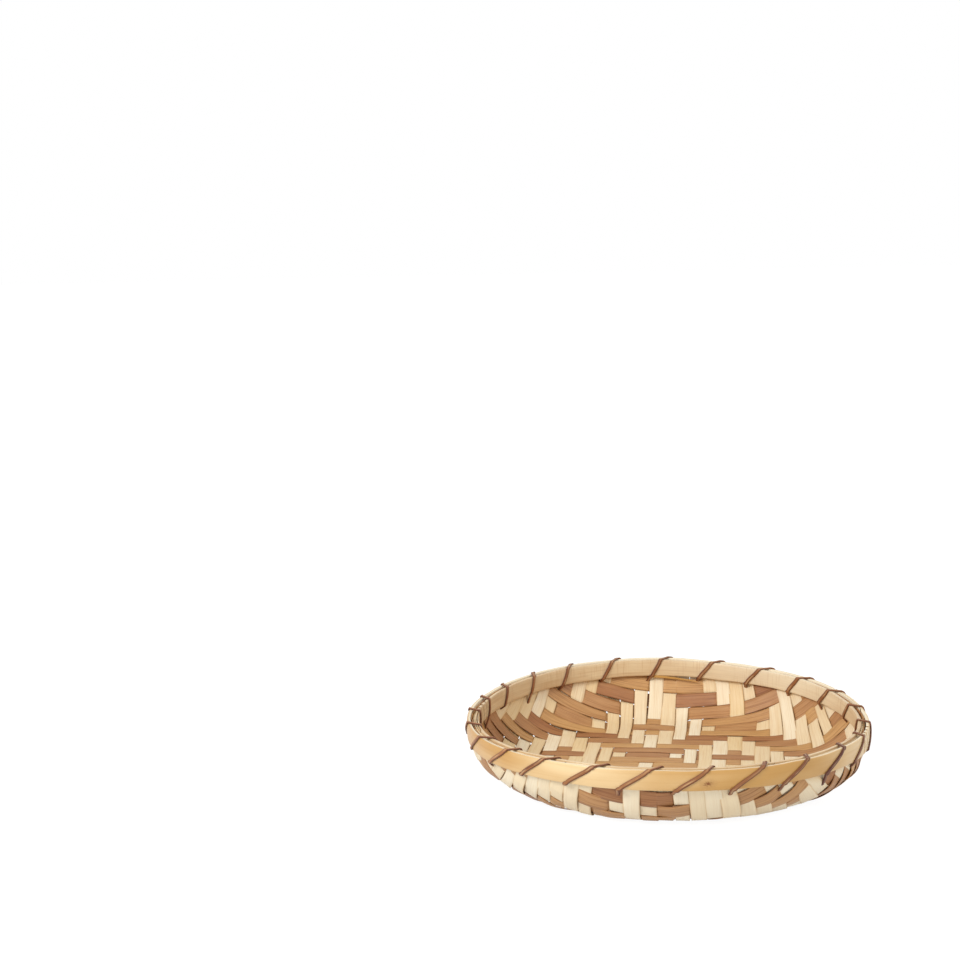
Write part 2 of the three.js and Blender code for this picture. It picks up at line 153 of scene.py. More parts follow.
class MatSettings(bpy.types.PropertyGroup):
    """Shape and weave of the plaited mat."""
    floor_radius: a_length("Floor Radius", "How far out the mat lies flat", 0.095)
    wall_fullness: a_number("Wall Fullness", "Power by which the wall rises, so more turns up later", 3.8)
    rim_gap: a_length("Rim Gap", "From the outer hoop's face in to the middle of the mat", 0.00415)
    turn: an_angle("Turn", "How far the weave is turned clockwise in the rim", 8.5)
    pale_count: a_count("Pale Splints", "Splints from front to back", 28)
    dark_count: a_count("Dark Splints", "Splints from left to right", 26)
    pale_short: a_length("Pale Stops Short", "Flat wall left beside the last pale splint", 0.0075)
    dark_short: a_length("Dark Stops Short", "Flat wall left beside the last dark splint", 0.0025)
    end_drop: a_length("End Drop", "From the top of the hoops down to the splint ends", 0.0012)
    spacing: a_length("Spacing", "Usual gap between neighbouring splints", 0.00022)
    thickness: a_length("Thickness", "Thickness of a splint", 0.00048)
    lift: a_length("Lift", "From the middle of the mat to the middle of a splint", 0.00037)
    clearance: a_length("Clearance", "From the table up to the mat's flat underside", 0.00015)
    crossover: a_length("Crossover", "Length in which a splint changes sides", 0.0021)
    motif: a_count("Motif", "Splints in one repeat of the diamonds", 12)
    ring_from: a_count("Ring From", "First step of the pale ring", 2)
    ring_to: a_count("Ring To", "Last step of the pale ring", 4)
    motif_column: a_number("Motif Column", "Column of one dark cross", -1.5)
    motif_row: a_number("Motif Row", "Row of one dark cross", 8.5)
    front_from: a_number("Front From", "Row in front of which the diamonds are smaller", -6.0)
    front_row: a_number("Front Row", "Row of a dark cross at the front", -11.5)
    front_motif: a_count("Front Motif", "Splints in one repeat of the smaller diamonds", 10)
    front_ring_to: a_count("Front Ring To", "Last step of the smaller diamonds' pale ring", 3)
    corner_shear: FloatProperty(
        name="Corner Shear", description="How far the mat closes up towards its four corners on the wall",
        default=0.025, subtype="ANGLE")
    wander: a_length("Wander", "How far a splint strays sideways", 0.0006)
    unevenness: a_number("Unevenness", "Spread of the splints' widths, as a share", 0.075)
    roll: a_length("Roll", "How far the edges of a splint lift on the wall", 0.00035)
    bulge: a_length("Bulge", "How far a long float stands off the wall", 0.0023)
    shingle: a_length("Shingle", "How far one edge of a splint lifts over the next on the wall", 0.00036)
    pale_lap: a_number("Pale Lap", "How much of that the pale splints lift", 0.5)
    belly: a_length("Belly", "How far the wall bulges at its fullest places", 0.0045)
    seed: a_count("Seed", "Start of the random draws", 7)


class FinishSettings(bpy.types.PropertyGroup):
    """Colours of the bamboo and the cane."""
    pale: a_colour("Pale", "Straw colour of a pale splint", 229, 207, 168)
    pale_light: a_colour("Pale Light", "The whitest pale splint", 240, 227, 199)
    pale_warm: a_colour("Pale Warm", "The yellowest pale splint", 227, 201, 154)
    dark: a_colour("Dark", "Tan colour of a dark splint", 186, 139, 90)
    dark_deep: a_colour("Dark Deep", "The darkest dark splint", 160, 107, 63)
    dark_ochre: a_colour("Dark Ochre", "The yellowest dark splint", 200, 155, 98)
    skin: a_colour("Skin", "Golden skin of the outer hoop", 194, 147, 79)
    skin_pale: a_colour("Skin Pale", "Cream part of the outer hoop", 230, 200, 151)
    split: a_colour("Split", "Split face of the inner hoop", 204, 170, 126)
    split_line: a_colour("Split Line", "Fibre lines of the split face", 190, 152, 108)
    cane: a_colour("Cane", "Lit face of the cane", 168, 112, 66)
    # Cane Edge: the colour that the painted shade at the cane's edges, and its own darker patches and
    # stretches, blend towards
    cane_edge: a_colour("Cane Edge", "Dark edges of the cane", 84, 36, 22)
    scar: FloatVectorProperty(
        name="Scar", description="Tint of the outer hoop's scar", subtype="COLOR", default=(0.36, 0.19, 0.09))
    # The tint in the hoops' cuts: partly dirt, partly painted shade in the narrow recess
    cut_dirt_and_shade: FloatVectorProperty(
        name="Cut Stain", description="Tint in the hoops' cuts", subtype="COLOR", default=(0.34, 0.20, 0.11))


class RimSettings(bpy.types.PropertyGroup):
    """The two hoops, the strip between them and the cane round them."""
    outer_thickness: a_length("Outer Hoop", "Thickness of the outer hoop", 0.003)
    inner_thickness: a_length("Inner Hoop", "Thickness of the inner hoop", 0.0028)
    crown: a_length("Crown", "How far a hoop's face swells at mid height", 0.0006)
    edge: a_length("Edge", "Rounding of a hoop's edges", 0.00045)
    inner_short: a_length("Inner Short", "How much less high the inner hoop is", 0.0008)
    scarf: a_length("Scarf", "Length over which a hoop's ends lap", 0.05)
    scarf_tip: a_length("Scarf Tip", "Thickness left at a shaved end", 0.0007)
    outer_joint: an_angle("Outer Joint", "Where the outer hoop's ends meet", 4)
    inner_joint: an_angle("Inner Joint", "Where the inner hoop's ends meet", 172)
    seat: a_length("Seat", "Gap between two pieces that touch", 0.0003)
    unevenness: a_length("Unevenness", "How far a hoop strays up, down, in and out", 0.00022)
    cut_width: a_length("Cut Width", "Width of a cut that lets a hoop bend", 0.0026)
    cut_depth: a_length("Cut Depth", "Depth of a cut that lets a hoop bend", 0.002)
    cut_pitch: an_angle("Cut Pitch", "From one cut to the next", 3.4)
    cut_count: a_count("Cuts", "Cuts at the sharpest bend of each hoop", 4)
    inner_cut: an_angle("Inner Hoop's Cuts", "Middle of the cuts in the inner hoop", 165)
    outer_cut: an_angle("Outer Hoop's Cuts", "Middle of the cuts in the outer hoop", -19)
    sway: a_length("Sway", "How far the whole rim strays from a true circle", 0.0012)
    spring: a_length("Spring", "How much higher the rim stands at front and back than between", 0.0018)
    dip: a_length("Dip", "How far the rim dips at its right end", 0.0034)
    strip_thickness: a_length("Filling", "Thickness of the whole filling strip", 0.0012)
    strip_joint: an_angle("Filling Joint", "Where the filling strip's ends meet", 60)
    strip_opening: a_length("Filling Opening", "Gap between the filling strip's ends", 0.003)


class LashingSettings(bpy.types.PropertyGroup):
    """The cane wound round the rim."""
    wraps: a_count("Wraps", "Turns of the cane round the rim", 24)
    first: an_angle("First Wrap", "Where the first wrap climbs", -93.4)
    width: a_length("Width", "Width of the cane", 0.003)
    thickness: a_length("Thickness", "Thickness of the cane", 0.0012)
    stand: a_length("Stand", "Gap between the cane and a hoop", 0.00005)
    outside_lean: an_angle("Outside Lean", "How far a wrap leans as it climbs the outer hoop", 8.4)
    top_lean: an_angle("Top Lean", "How far a wrap leans across the top", 2.5)
    inside_lean: an_angle("Inside Lean", "How far a wrap leans as it goes down the inner hoop", 3.3)
    right_lean: an_angle(
        "Right Lean", "How much more a wrap leans there at the right, and less at the left", 1.9)
    stray: an_angle("Stray", "How far a wrap's corners stray round the rim", 0.5)
    least_drop: a_length("Least Drop", "From a hoop's foot down to the highest slit in the mat", 0.0015)
    most_drop: a_length("Most Drop", "From a hoop's foot down to the lowest slit in the mat", 0.0085)
    crowding: an_angle("Crowding", "How far the wraps bunch at one place", 6)
    crowded_at: an_angle("Crowded At", "Middle of the bunched wraps", 104)
    crowded_span: an_angle("Crowded Span", "Half of the stretch that is bunched", 80)
    corner_steps: a_count("Corner Steps", "Steps in which the cane turns a corner", 6)
    smoothing: a_count("Smoothing", "Passes that ease the cane's lean", 9)
    seed: a_count("Seed", "Start of the random draws", 4)


class StudioSettings(bpy.types.PropertyGroup):
    """Camera, lamps and floor."""
    eye: FloatVectorProperty(
        name="Eye", description="Camera, seen from the middle of the rim's top", subtype="TRANSLATION",
        unit="LENGTH", default=(-0.13611, -1.42349, 0.41617))
    pitch: an_angle("Pitch", "How far the camera looks down", 9.491)
    roll: FloatProperty(
        name="Roll", description="How far the camera is tipped", default=-0.021, subtype="ANGLE")
    lens: a_number("Lens", "Focal length in millimetres", 73.84)
    ambient: a_number("Ambient", "Even light from all round", 0.56)
    key: FloatProperty(
        name="Key", description="Power of the lamp at the front left", default=29.0, unit="POWER")
    fill: FloatProperty(
        name="Fill", description="Power of the lamp at the front right", default=10.0, unit="POWER")
    floor: a_number("Floor", "Brightness of the floor", 0.8)
    shadow: a_number("Shadow", "Share of the floor's brightness that a shadow can take", 0.16)


class BasketSettings(bpy.types.PropertyGroup):
    """All settings of the basket."""
    mat: PointerProperty(type=MatSettings)
    rim: PointerProperty(type=RimSettings)
    lashing: PointerProperty(type=LashingSettings)
    finish: PointerProperty(type=FinishSettings)
    studio: PointerProperty(type=StudioSettings)


class Bowl:
    """The dished middle surface of the mat, and where a point of the flat mat comes to lie on it."""
    STEPS = 300
    SOFT_KINK = 0.004
    WALL_FROM = 0.95
    WALL_SOON = 1.3
    GRIP = 0.002
    GRIP_EASE = 0.008

    def __init__(self, mat):
        self.turn = mat.turn
        self.shear = mat.corner_shear
        self.floor = mat.floor_radius
        self.rest = mat.lift + mat.thickness / 2 + mat.clearance
        self.radius = RIM_RADIUS - mat.rim_gap
        self.points = [(self.floor, self.floor, self.rest, 0.0)]
        width = self.radius - self.floor
        rise = HOOP_FOOT - self.rest
        for i in range(1, self.STEPS + 1):
            share = i / self.STEPS
            radius = self.floor + width * share
            height = self.rest + rise * share ** mat.wall_fullness
            slope = math.atan(mat.wall_fullness * rise * share ** (mat.wall_fullness - 1) / width)
            run, before, low, _ = self.points[-1]
            run += math.hypot(radius - before, height - low)
            self.points.append((run, radius, height, slope))
        self.runs = [point[0] for point in self.points]
        self.wall = self.runs[-1]
        self.end = self.wall + HOOP_TOP - HOOP_FOOT - mat.end_drop

    def section(self, run):
        """Radius, height and slope of the middle surface at a length out from the middle."""
        if run <= self.floor:
            return run, self.rest, 0.0
        if run >= self.wall:
            return self.radius, HOOP_FOOT + run - self.wall, math.pi / 2
        above = bisect.bisect_left(self.runs, run)
        low, high = self.points[above - 1], self.points[above]
        share = (run - low[0]) / (high[0] - low[0])
        return tuple(mix(a, b, share) for a, b in zip(low[1:], high[1:]))

    def place(self, u, v, level):
        """A point of the flat mat, u to the right and v to the back, a level above its middle surface."""
        run = math.hypot(u, v)
        radius, height, slope = self.section(run)
        if abs(run - self.wall) < self.SOFT_KINK:
            share = smooth((run - self.wall) / self.SOFT_KINK / 2 + 0.5)
            slope = mix(self.section(self.wall - self.SOFT_KINK)[2], math.pi / 2, share)
        flat = math.atan2(v, u)
        climbed = smooth((run - self.floor) / (self.wall - self.floor))
        angle = flat + self.shear * climbed * math.sin(4 * flat) - self.turn
        reach = radius - level * math.sin(slope)
        return Vector((
            CENTRE.x + reach * math.cos(angle),
            CENTRE.y + reach * math.sin(angle),
            height + level * math.cos(slope),
        ))

    def radius_at(self, height):
        """How far out the middle surface stands at a height on the wall."""
        above = bisect.bisect_left([point[2] for point in self.points], height)
        return self.points[min(above, self.STEPS)][1]

    def on_wall(self, run):
        """0 on the floor, 1 high on the wall and 0 again in the grip of the hoops."""
        climb = smooth((run - self.floor * self.WALL_FROM) / (self.wall - self.floor) * self.WALL_SOON)
        return climb * smooth((self.wall - self.GRIP - run) / self.GRIP_EASE)


def steps_away(across, along, repeat):
    """Steps to the nearest dark cross, or to the nearest centre of a pale ring between them."""
    half = repeat / 2

    def away(value):
        return abs((value + half) % repeat - half)

    return min(away(across) + away(along), away(across - half) + away(along - half))


def pale_inside(mat, column, row):
    """Whether the pale splint shows inside the bowl at a crossing."""
    cross, repeat, ring_to = mat.motif_row, mat.motif, mat.ring_to
    if row < mat.front_from:
        cross, repeat, ring_to = mat.front_row, mat.front_motif, mat.front_ring_to
    return mat.ring_from <= steps_away(column - mat.motif_column, row - cross, repeat) <= ring_to


class Splint:
    """One splint: its path over and under, its own width, and how it strays from a straight strip."""
    COLUMNS = (-1.0, -0.55, 0.0, 0.55, 1.0)
    END_STEP = 0.0022
    GROUND = 0.00005
    LONG_FLOAT = 5
    LEAST_BULGE = 0.15
    FLOOR_STRAY = 0.25
    CUP = 0.00006
    CUP_LEVEL = 0.4
    SIDE_LAP = 0.6
    WANDER_LENGTH = 0.04
    WIDTH_LENGTH = 0.06
    SPREAD_SHARE = 1.3
    WORN_SHARE = 0.2
    WORN_ANGLE = math.radians(50)

    def __init__(self, bowl, mat, across, width, pitch, sides, draws, pale):
        self.bowl = bowl
        self.mat = mat
        self.across = across
        self.pitch = pitch
        self.sides = sides
        self.seed = draws.uniform(0, 500)
        self.width = width * (1 + draws.gauss(0, mat.unevenness))
        self.tone = draws.random()
        self.lap = mat.pale_lap if pale else 1.0
        self.reach = self.end_at(abs(across) + width / 2)
        self.floats = self.find_floats(draws)

    def end_at(self, across):
        """Where the round edge of the mat cuts a line at this distance from the middle."""
        return math.sqrt(max(self.bowl.end ** 2 - across ** 2, 0.0))

    def find_floats(self, draws):
        """Stretches that stay on one side: start, end, side, bulge and roll."""
        places = sorted(self.sides)
        floats = []
        first = 0
        for i in range(1, len(places) + 1):
            if i < len(places) and self.sides[places[i]] == self.sides[places[first]]:
                continue
            start = (places[first] - 0.5) * self.pitch
            end = (places[i - 1] + 0.5) * self.pitch
            long = min(i - first, self.LONG_FLOAT) / self.LONG_FLOAT
            bulge = long * draws.uniform(self.LEAST_BULGE, 1.0)
            floats.append((start, end, self.sides[places[first]], bulge, draws.uniform(-1, 1)))
            first = i
        return floats

    def stations(self):
        """Cross rows from the middle of the first crossover to that of the last."""
        half = self.mat.crossover / 2
        places = []
        for start, end, _, _, _ in self.floats:
            for count in range(round((end - start) / self.pitch)):
                foot = start + count * self.pitch
                places += [foot, foot + half / 2, foot + half]
                places += [foot + self.pitch * share for share in (0.33, 0.67)]
                places += [foot + self.pitch - half, foot + self.pitch - half / 2]
        limit = self.reach - self.mat.crossover
        return [place for place in places if abs(place) < limit]

    def level(self, along, across, share):
        """Height off the middle surface at a share of the half width from -1 to 1, never in the ground."""
        half = self.mat.crossover / 2
        side, bulge, roll = self.floats[0][2], 0.0, 0.0
        for i, (start, end, here, fullness, lean) in enumerate(self.floats):
            if along > end and i + 1 < len(self.floats):
                continue
            side = here
            if along < start + half and i > 0:
                side = mix(self.floats[i - 1][2], here, smooth((along - start) / half / 2 + 0.5))
            elif along > end - half and i + 1 < len(self.floats):
                side = mix(here, self.floats[i + 1][2], smooth((along - end) / half / 2 + 0.5))
            inside = min(1.0, max(0.0, (along - start) / (end - start)))
            hump = math.sin(math.pi * inside) ** 2
            bulge, roll = here * fullness * hump, lean * hump
            break
        wall = self.bowl.on_wall(math.hypot(along, self.across))
        free = mix(self.FLOOR_STRAY, 1.0, wall)
        risen = free if side > 0 else wall
        stray = bulge * self.mat.bulge * risen + roll * share * self.mat.roll * free
        cup = (share * share - self.CUP_LEVEL) * self.CUP * side
        way = 1 if along > 0 else -1
        lapped = self.mat.shingle * wall * self.lap * (side * self.SIDE_LAP + share * way)
        _, height, slope = self.bowl.section(math.hypot(along, across))
        on_ground = (self.GROUND + self.mat.thickness / 2 - height) / max(math.cos(slope), 0.1)
        return max(side * self.mat.lift + stray + cup + lapped, on_ground)

    def sideways(self, along, share):
        """Distance from the middle line of the mat, at a share of the half width."""
        middle = self.mat.wander * ripple(along / self.WANDER_LENGTH, self.seed)
        swell = 0.5 * self.mat.unevenness * ripple(along / self.WIDTH_LENGTH, self.seed, 9.0)
        width = self.width * (1 + swell)
        run = math.hypot(along, self.across)
        if run > self.bowl.floor:
            width *= mix(1.0, run / self.bowl.section(run)[0], self.SPREAD_SHARE)
        return self.across + middle + share * width / 2


def mark_points(piece, name, values):
    """Gives each point of a piece a value that its material reads."""
    piece.data.attributes.new(name, "FLOAT", "POINT").data.foreach_set("value", values)


def wood_mesh(name, shape, spots, tone_at):
    """Writes a bmesh to a new piece, with its fibre map and the tone of each of its points."""
    shape.verts.index_update()
    fibre_map = shape.loops.layers.uv.new(FIBRES)
    for face in shape.faces:
        for loop in face.loops:
            loop[fibre_map].uv = spots(face, loop.vert)
    mesh = bpy.data.meshes.new(name)
    shape.to_mesh(mesh)
    shape.free()
    mesh.shade_smooth()
    piece = bpy.data.objects.new(name, mesh)
    bpy.context.scene.collection.objects.link(piece)
    mark_points(piece, TONE, [tone_at(vertex.co) for vertex in mesh.vertices])
    return piece


def seat_piece(piece, material, slot, *nodes):
    """Gives the piece its material and lets it stand for its CAD nodes."""
    piece.data.materials.append(material)
    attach(piece, BODY)
    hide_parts(*nodes)


def lay_splint(name, splint, runs_back):
    """Lays a flat grid along one splint's path, and thickens it."""
    rows = splint.stations()
    first, last = rows[0], rows[-1]
    steps = max(2, math.ceil((splint.reach - last) / splint.END_STEP))
    columns = splint.COLUMNS
    row_count = len(rows) + 2 * steps
    strip = bmesh.new()
    bmesh.ops.create_grid(strip, x_segments=len(columns) - 1, y_segments=row_count - 1, size=1.0)
    spots = {}
    shares = []
    strip.verts.index_update()
    for vertex in strip.verts:
        share = columns[round((vertex.co.x + 1) / 2 * (len(columns) - 1))]
        row = round((vertex.co.y + 1) / 2 * (row_count - 1)) - steps
        if row < 0:
            across = splint.sideways(first, share)
            along = mix(first, -splint.end_at(across), -row / steps)
        elif row >= len(rows):
            across = splint.sideways(last, share)
            along = mix(last, splint.end_at(across), (row - len(rows) + 1) / steps)
        else:
            along = rows[row]
            across = splint.sideways(along, share)
        level = splint.level(along, across, share)
        shares.append(abs(share))
        spots[vertex.index] = (along + splint.seed, across)
        u, v = (across, along) if runs_back else (along, across)
        vertex.co = settled(splint.bowl.place(u, v, level))
    if not runs_back:
        bmesh.ops.reverse_faces(strip, faces=strip.faces[:])
    piece = wood_mesh(name, strip, lambda face, vertex: spots[vertex.index], lambda point: splint.tone)
    mark_points(piece, EDGE, shares)
    solid = piece.modifiers.new("Thickness", "SOLIDIFY")
    solid.thickness = splint.mat.thickness
    solid.offset = 0
    solid.use_even_offset = True
    edge = piece.modifiers.new("Worn Edges", "BEVEL")
    edge.width = splint.mat.thickness * splint.WORN_SHARE
    edge.segments = 1
    edge.limit_method = "ANGLE"
    edge.angle_limit = splint.WORN_ANGLE
    return piece


def weave_set(settings, pale):
    """All splints of one set, each standing for the CAD splint of its number."""
    mat = settings.mat
    bowl = Bowl(mat)
    draws = random.Random(mat.seed + pale)
    count, others = (mat.pale_count, mat.dark_count) if pale else (mat.dark_count, mat.pale_count)
    pale_pitch = 2 * (bowl.wall - mat.pale_short) / mat.pale_count
    dark_pitch = 2 * (bowl.wall - mat.dark_short) / mat.dark_count
    pitch, other_pitch = (pale_pitch, dark_pitch) if pale else (dark_pitch, pale_pitch)
    word = "pale" if pale else "dark"
    material = splint_material(settings.finish, pale)
    for n in range(count):
        here = n - (count - 1) / 2
        sides = {}
        for m in range(others):
            there = m - (others - 1) / 2
            inside = pale_inside(mat, here, there) if pale else not pale_inside(mat, there, here)
            sides[there] = 1 if inside else -1
        splint = Splint(bowl, mat, here * pitch, pitch - mat.spacing, other_pitch, sides, draws, pale)
        piece = lay_splint(f"{word}_strip_{n + 1:02d}", splint, pale)
        seat_piece(piece, material, f"{word}_bamboo", f"{word}_splint_{n + 1:02d}")


def new_group(name, inputs, outputs):
    """A shader node group with its named sockets. Each socket is (name, kind) or (name, kind, default)."""
    group = bpy.data.node_groups.new(name, "ShaderNodeTree")
    kinds = {"value": "NodeSocketFloat", "colour": "NodeSocketColor", "vector": "NodeSocketVector"}
    for direction, sockets in (("INPUT", inputs), ("OUTPUT", outputs)):
        for label, kind, *default in sockets:
            socket = group.interface.new_socket(name=label, in_out=direction, socket_type=kinds[kind])
            if default:
                socket.default_value = default[0]
    return group


class Nodes:
    """Adds nodes to one tree and links them as they come."""

    def __init__(self, tree):
        self.tree = tree

    def add(self, kind, inputs=None, **values):
        node = self.tree.nodes.new(kind)
        for name, value in values.items():
            setattr(node, name, value)
        for socket, value in (inputs or {}).items():
            self.set(node.inputs[socket], value)
        return node

    def set(self, socket, value):
        if isinstance(value, bpy.types.NodeSocket):
            self.tree.links.new(value, socket)
        else:
            socket.default_value = value

    def maths(self, operation, *values, clamp=False):
        node = self.add("ShaderNodeMath", operation=operation, use_clamp=clamp)
        for socket, value in zip(node.inputs, values):
            self.set(socket, value)
        return node.outputs[0]

    def range(self, value, low, high, to_low=0.0, to_high=1.0):
        node = self.add("ShaderNodeMapRange", {0: value, 1: low, 2: high, 3: to_low, 4: to_high})
        return node.outputs[0]

    def blend(self, share, first, second, kind="MIX"):
        node = self.add("ShaderNodeMix", data_type="RGBA", blend_type=kind)
        self.set(node.inputs[0], share)
        self.set(node.inputs[6], first)
        self.set(node.inputs[7], second)
        return node.outputs[2]

    def tinted(self, colour, mask, share, tint):
        """A colour multiplied by a tint, as far as a mask and a share let it."""
        return self.blend(self.maths("MULTIPLY", mask, share), colour, opaque(tint), "MULTIPLY")

    def noise(self, vector, detail=2.0, roughness=0.5):
        node = self.add(
            "ShaderNodeTexNoise", {"Vector": vector, "Scale": 1.0, "Detail": detail, "Roughness": roughness})
        return node.outputs["Fac"]

    def mark(self, name):
        """A value that the piece's points carry."""
        return self.add("ShaderNodeAttribute", attribute_name=name).outputs["Fac"]

    def fibre_map(self):
        """The piece's own map, in metres, whose first axis runs along the fibres."""
        return self.add("ShaderNodeUVMap", uv_map=FIBRES).outputs["UV"]

    def stretch(self, vector, along, across, offset=0.0):
        node = self.add("ShaderNodeVectorMath", operation="MULTIPLY_ADD")
        self.set(node.inputs[0], vector)
        self.set(node.inputs[1], (along, across, 0.0))
        self.set(node.inputs[2], (offset, offset, offset))
        return node.outputs[0]


def opaque(colour):
    return (*colour, 1.0)


def fibre_group():
    """Lengthwise fibres, on a map whose first axis runs along the piece, in metres."""
    name = "Bamboo Fibres"
    if name in bpy.data.node_groups:
        return bpy.data.node_groups[name]
    group = new_group(name, [("Map", "vector"), ("Fineness", "value", 1.0)],
                      [("Fibres", "value"), ("Streaks", "value"), ("Patches", "value")])
    nodes = Nodes(group)
    entry = nodes.add("NodeGroupInput")
    scaled = nodes.add("ShaderNodeVectorMath", {0: entry.outputs["Map"], 3: entry.outputs["Fineness"]},
                       operation="SCALE").outputs[0]
    fibres = nodes.noise(nodes.stretch(scaled, 45, 2600), detail=3.0, roughness=0.6)
    streaks = nodes.noise(nodes.stretch(scaled, 16, 780, 7.3), detail=2.0)
    patches = nodes.noise(nodes.stretch(scaled, 22, 90, 3.1), detail=2.0)
    nodes.add("NodeGroupOutput", {"Fibres": fibres, "Streaks": streaks, "Patches": patches})
    return group


def fibre_nodes(nodes, fineness):
    """The masks of the fibre group, on the piece's own fibre map."""
    return placed_group(nodes, fibre_group(), {"Map": nodes.fibre_map(), "Fineness": fineness})


def placed_group(nodes, group, inputs):
    node = nodes.add("ShaderNodeGroup", node_tree=group)
    for name, value in inputs.items():
        nodes.set(node.inputs[name], value)
    return node.outputs


def new_material(name, roughness, specular):
    """An empty material with one shader, whose even values stand on its own sockets."""
    material = bpy.data.materials.new(name)
    material.use_nodes = True
    nodes = Nodes(material.node_tree)
    shader = material.node_tree.nodes["Principled BSDF"]
    shader.inputs["Roughness"].default_value = roughness
    shader.inputs["Specular IOR Level"].default_value = specular
    return material, nodes, shader


def bump(nodes, shader, height, distance, strength=0.6):
    node = nodes.add("ShaderNodeBump", {"Strength": strength, "Distance": distance, "Height": height})
    nodes.set(shader.inputs["Normal"], node.outputs["Normal"])


def splint_material(finish, pale):
    """Thin split bamboo: each splint has its own tone, with fibres and darker streaks along it, painted shade
    along both edges (partly edge grime) and, on pale splints, painted light on faces that look down.
    """
    name = "Pale splint bamboo" if pale else "Dark splint bamboo"
    material, nodes, shader = new_material(name, 0.5, 0.5)
    grain = fibre_nodes(nodes, 1.5)
    tone = nodes.maths("SUBTRACT", nodes.mark(TONE), 0.25)
    shifted = nodes.maths("MULTIPLY_ADD", grain["Patches"], 0.5, tone)
    if pale:
        low, middle, high = finish.pale_light, finish.pale, finish.pale_warm
        depth = PALE_DEPTH
    else:
        low, middle, high = finish.dark_deep, finish.dark, finish.dark_ochre
        depth = DARK_DEPTH
    colour = nodes.blend(nodes.range(shifted, 0.0, 0.5), opaque(low), opaque(middle))
    colour = nodes.blend(nodes.range(shifted, 0.55, 1.0), colour, opaque(high))
    line = nodes.range(grain["Streaks"], 0.50, 0.64)
    colour = nodes.tinted(colour, line, 0.35 if pale else 0.8, depth)
    fine = nodes.range(grain["Fibres"], 0.40, 0.78)
    colour = nodes.tinted(colour, fine, 0.5, depth)
    # Painted light: on pale splints, faces that look down (the outside of the wall) turn towards the palest
    # straw, standing in for the key lamp's light there
    facing = nodes.add("ShaderNodeNewGeometry").outputs["Normal"]
    down = nodes.add("ShaderNodeSeparateXYZ", {0: facing}).outputs["Z"]
    under = nodes.range(down, 0.0, -0.15, 0.0, 0.5 if pale else 0.0)
    colour = nodes.blend(under, colour, opaque(finish.pale_light))
    # Partly edge grime, partly painted shade: each splint darkens towards both edges, where the gaps between
    # neighbours lie in shadow
    colour = nodes.tinted(colour, nodes.range(nodes.mark(EDGE), 0.86, 1.0), 0.8, depth)
    nodes.set(shader.inputs["Base Color"], colour)
    nodes.set(shader.inputs["Roughness"], nodes.range(grain["Fibres"], 0.3, 0.8, 0.46, 0.66))
    bump(nodes, shader, grain["Fibres"], 0.00008)
    return material


class BASKET_OT_pale_splints(bpy.types.Operator):
    """Weave the pale splints, which run from front to back"""
    bl_idname = "basket.pale_splints"
    bl_label = "Pale Splints"

    def execute(self, context):
        weave_set(context.scene.basket, True)
        return {"FINISHED"}


class BASKET_OT_dark_splints(bpy.types.Operator):
    """Weave the dark splints, which run from left to right"""
    bl_idname = "basket.dark_splints"
    bl_label = "Dark Splints"

    def execute(self, context):
        weave_set(context.scene.basket, False)
        return {"FINISHED"}


def long_bar(thickness, height, edge, steps, layers):
    """A straight bar one unit long with rounded long edges, cut into steps along and layers up."""
    bar = bmesh.new()
    bmesh.ops.create_cube(bar, size=1.0)
    bmesh.ops.translate(bar, vec=(0.5, 0.5, 0.5), verts=bar.verts[:])
    bmesh.ops.scale(bar, vec=(1.0, thickness, height), verts=bar.verts[:])
    if edge:
        bmesh.ops.bevel(
            bar, geom=lengthwise(bar), offset=edge, offset_type="OFFSET", segments=3, profile=0.5,
            affect="EDGES", clamp_overlap=True, material=-1)
    for i in range(1, layers):
        bmesh.ops.bisect_plane(
            bar, geom=bar.verts[:] + bar.edges[:] + bar.faces[:], dist=1e-6,
            plane_co=(0, 0, height * i / layers), plane_no=(0, 0, 1))
    bmesh.ops.subdivide_edges(bar, edges=lengthwise(bar), cuts=steps - 1, use_grid_fill=True)
    return bar


def lengthwise(bar):
    """The edges that run the whole length of a bar."""
    return [edge for edge in bar.edges if abs(edge.verts[0].co.x - edge.verts[1].co.x) > 0.5]


def bent_round(name, bar, travels, start, section, tone, marks=None):
    """Bends a straight bar round the rim. section gives radius and height for a travel, depth and rise."""
    rows = len(travels) - 1
    flat = {}
    bar.verts.index_update()
    for vertex in bar.verts:
        travel = travels[round(vertex.co.x * rows)]
        depth, rise = vertex.co.y, vertex.co.z
        flat[vertex.index] = (travel, depth, rise)
        radius, height = section(travel, depth, rise)
        angle = start + travel
        vertex.co = settled(Vector((
            CENTRE.x + radius * math.cos(angle), CENTRE.y + radius * math.sin(angle), height)))
    bmesh.ops.recalc_face_normals(bar, faces=bar.faces[:])
    bar.normal_update()

    def spots(face, vertex):
        travel, depth, rise = flat[vertex.index]
        level = abs(face.normal.z) > 0.75
        return travel * RIM_RADIUS, rise + depth if level else rise

    piece = wood_mesh(name, bar, spots, lambda point: tone)
    for attribute, mark in (marks or {}).items():
        mark_points(piece, attribute, [mark(*flat[i]) for i in range(len(piece.data.vertices))])
    return piece


def hoop_travels(scarf, steps):
    """Stations round a hoop, with rows exactly where the scarf's two tapers start and end."""
    turn = 2 * math.pi
    lap = max(4, round(steps * scarf / turn))
    first = [scarf * i / lap for i in range(lap)]
    body = [mix(scarf, turn, i / steps) for i in range(steps)]
    last = [turn + scarf * i / lap for i in range(lap + 1)]
    return first + body + last


